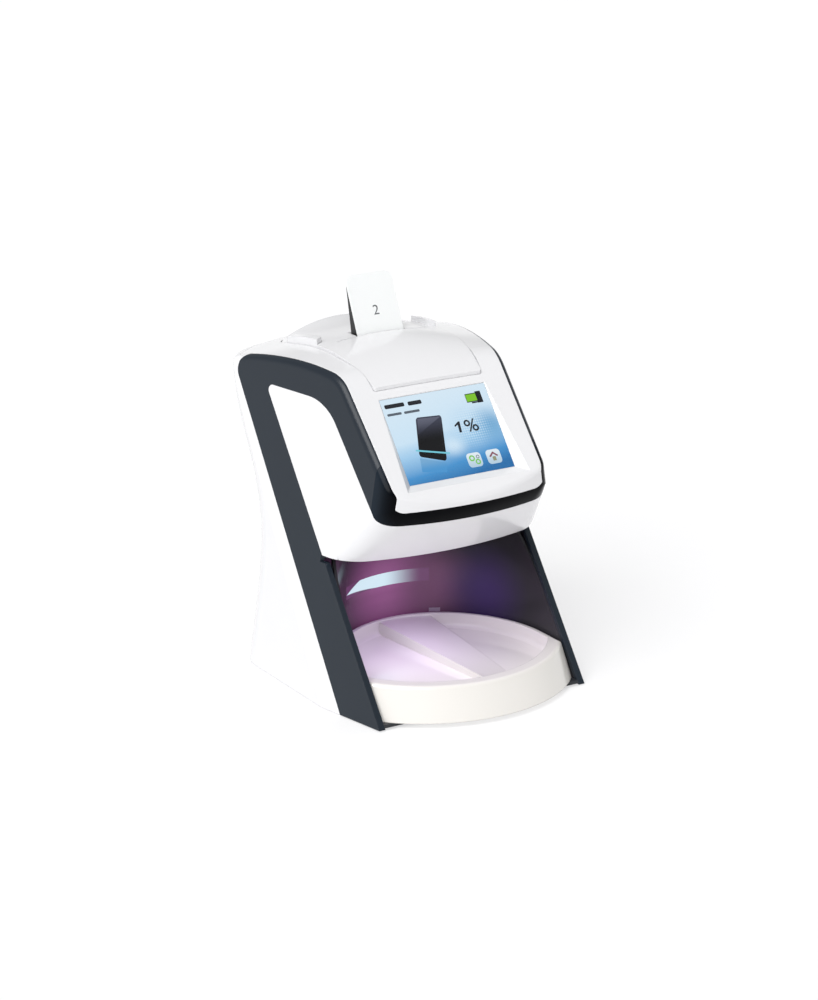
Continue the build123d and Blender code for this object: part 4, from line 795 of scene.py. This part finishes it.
# Studio light: one wide soft light high on the left. Two small violet lamps in the
# niche stand for the glow of its light strip, and show neither to the camera nor in
# reflections.
WINDOW_FROM = Vector((-0.55, -0.28, 0.78))
WINDOW_LIGHT = 2.75
WINDOW_WIDTH = radians(45.0)
NICHE_VIOLET = (0.72, 0.52, 1.0)
STRIP_LILAC = (0.82, 0.76, 1.0)


def niche_light(name, place, aim, size, power, tint):
    """A square lamp inside the niche, turned to a point, its size and places in metres."""
    data = bpy.data.lights.new(name, "AREA")
    data.size = size
    data.energy = power
    data.color = tint
    lamp = bpy.data.objects.new(name, data)
    lamp.location = place
    lamp.rotation_euler = (Vector(place) - Vector(aim)).to_track_quat("Z", "Y").to_euler()
    lamp.visible_camera = False
    lamp.visible_glossy = False
    bpy.context.scene.collection.objects.link(lamp)


daylight = bpy.data.lights.new("window_light", "SUN")
daylight.energy = WINDOW_LIGHT
daylight.angle = WINDOW_WIDTH
window = bpy.data.objects.new("window_light", daylight)
window.rotation_euler = WINDOW_FROM.to_track_quat("Z", "Y").to_euler()
bpy.context.scene.collection.objects.link(window)
niche_light(
    "niche_lamp", place=(-0.010, -0.020, 0.080), aim=(-0.012, -0.030, 0.0),
    size=0.035, power=0.03, tint=NICHE_VIOLET,
)
niche_light(
    "strip_lamp", place=(-0.044, -0.008, 0.046), aim=(0.012, -0.040, 0.004),
    size=0.020, power=0.005, tint=STRIP_LILAC,
)


# Surround: an even grey overhead that turns white near the table, so that no edge of
# the table shows. Each step has its height, 1 being overhead, and its brightness.
SKY_BAND = ((0.0, 1.0), (0.17, 1.0), (0.30, 0.40), (1.0, 0.40))
world = bpy.data.worlds.new("studio_world")
world.use_nodes = True
sky = world.node_tree
direction = sky.nodes.new("ShaderNodeTexCoord")
direction_parts = sky.nodes.new("ShaderNodeSeparateXYZ")
sky_ramp = sky.nodes.new("ShaderNodeValToRGB")
while len(sky_ramp.color_ramp.elements) < len(SKY_BAND):
    sky_ramp.color_ramp.elements.new(1.0)
for stop, (height, light) in zip(sky_ramp.color_ramp.elements, SKY_BAND):
    stop.position = height
    stop.color = (light, light, light, 1.0)
sky.links.new(direction.outputs["Generated"], direction_parts.inputs[0])
sky.links.new(direction_parts.outputs["Z"], sky_ramp.inputs["Fac"])
sky.links.new(sky_ramp.outputs["Color"], sky.nodes["Background"].inputs["Color"])
bpy.context.scene.world = world
bpy.context.scene.view_settings.view_transform = "Standard"
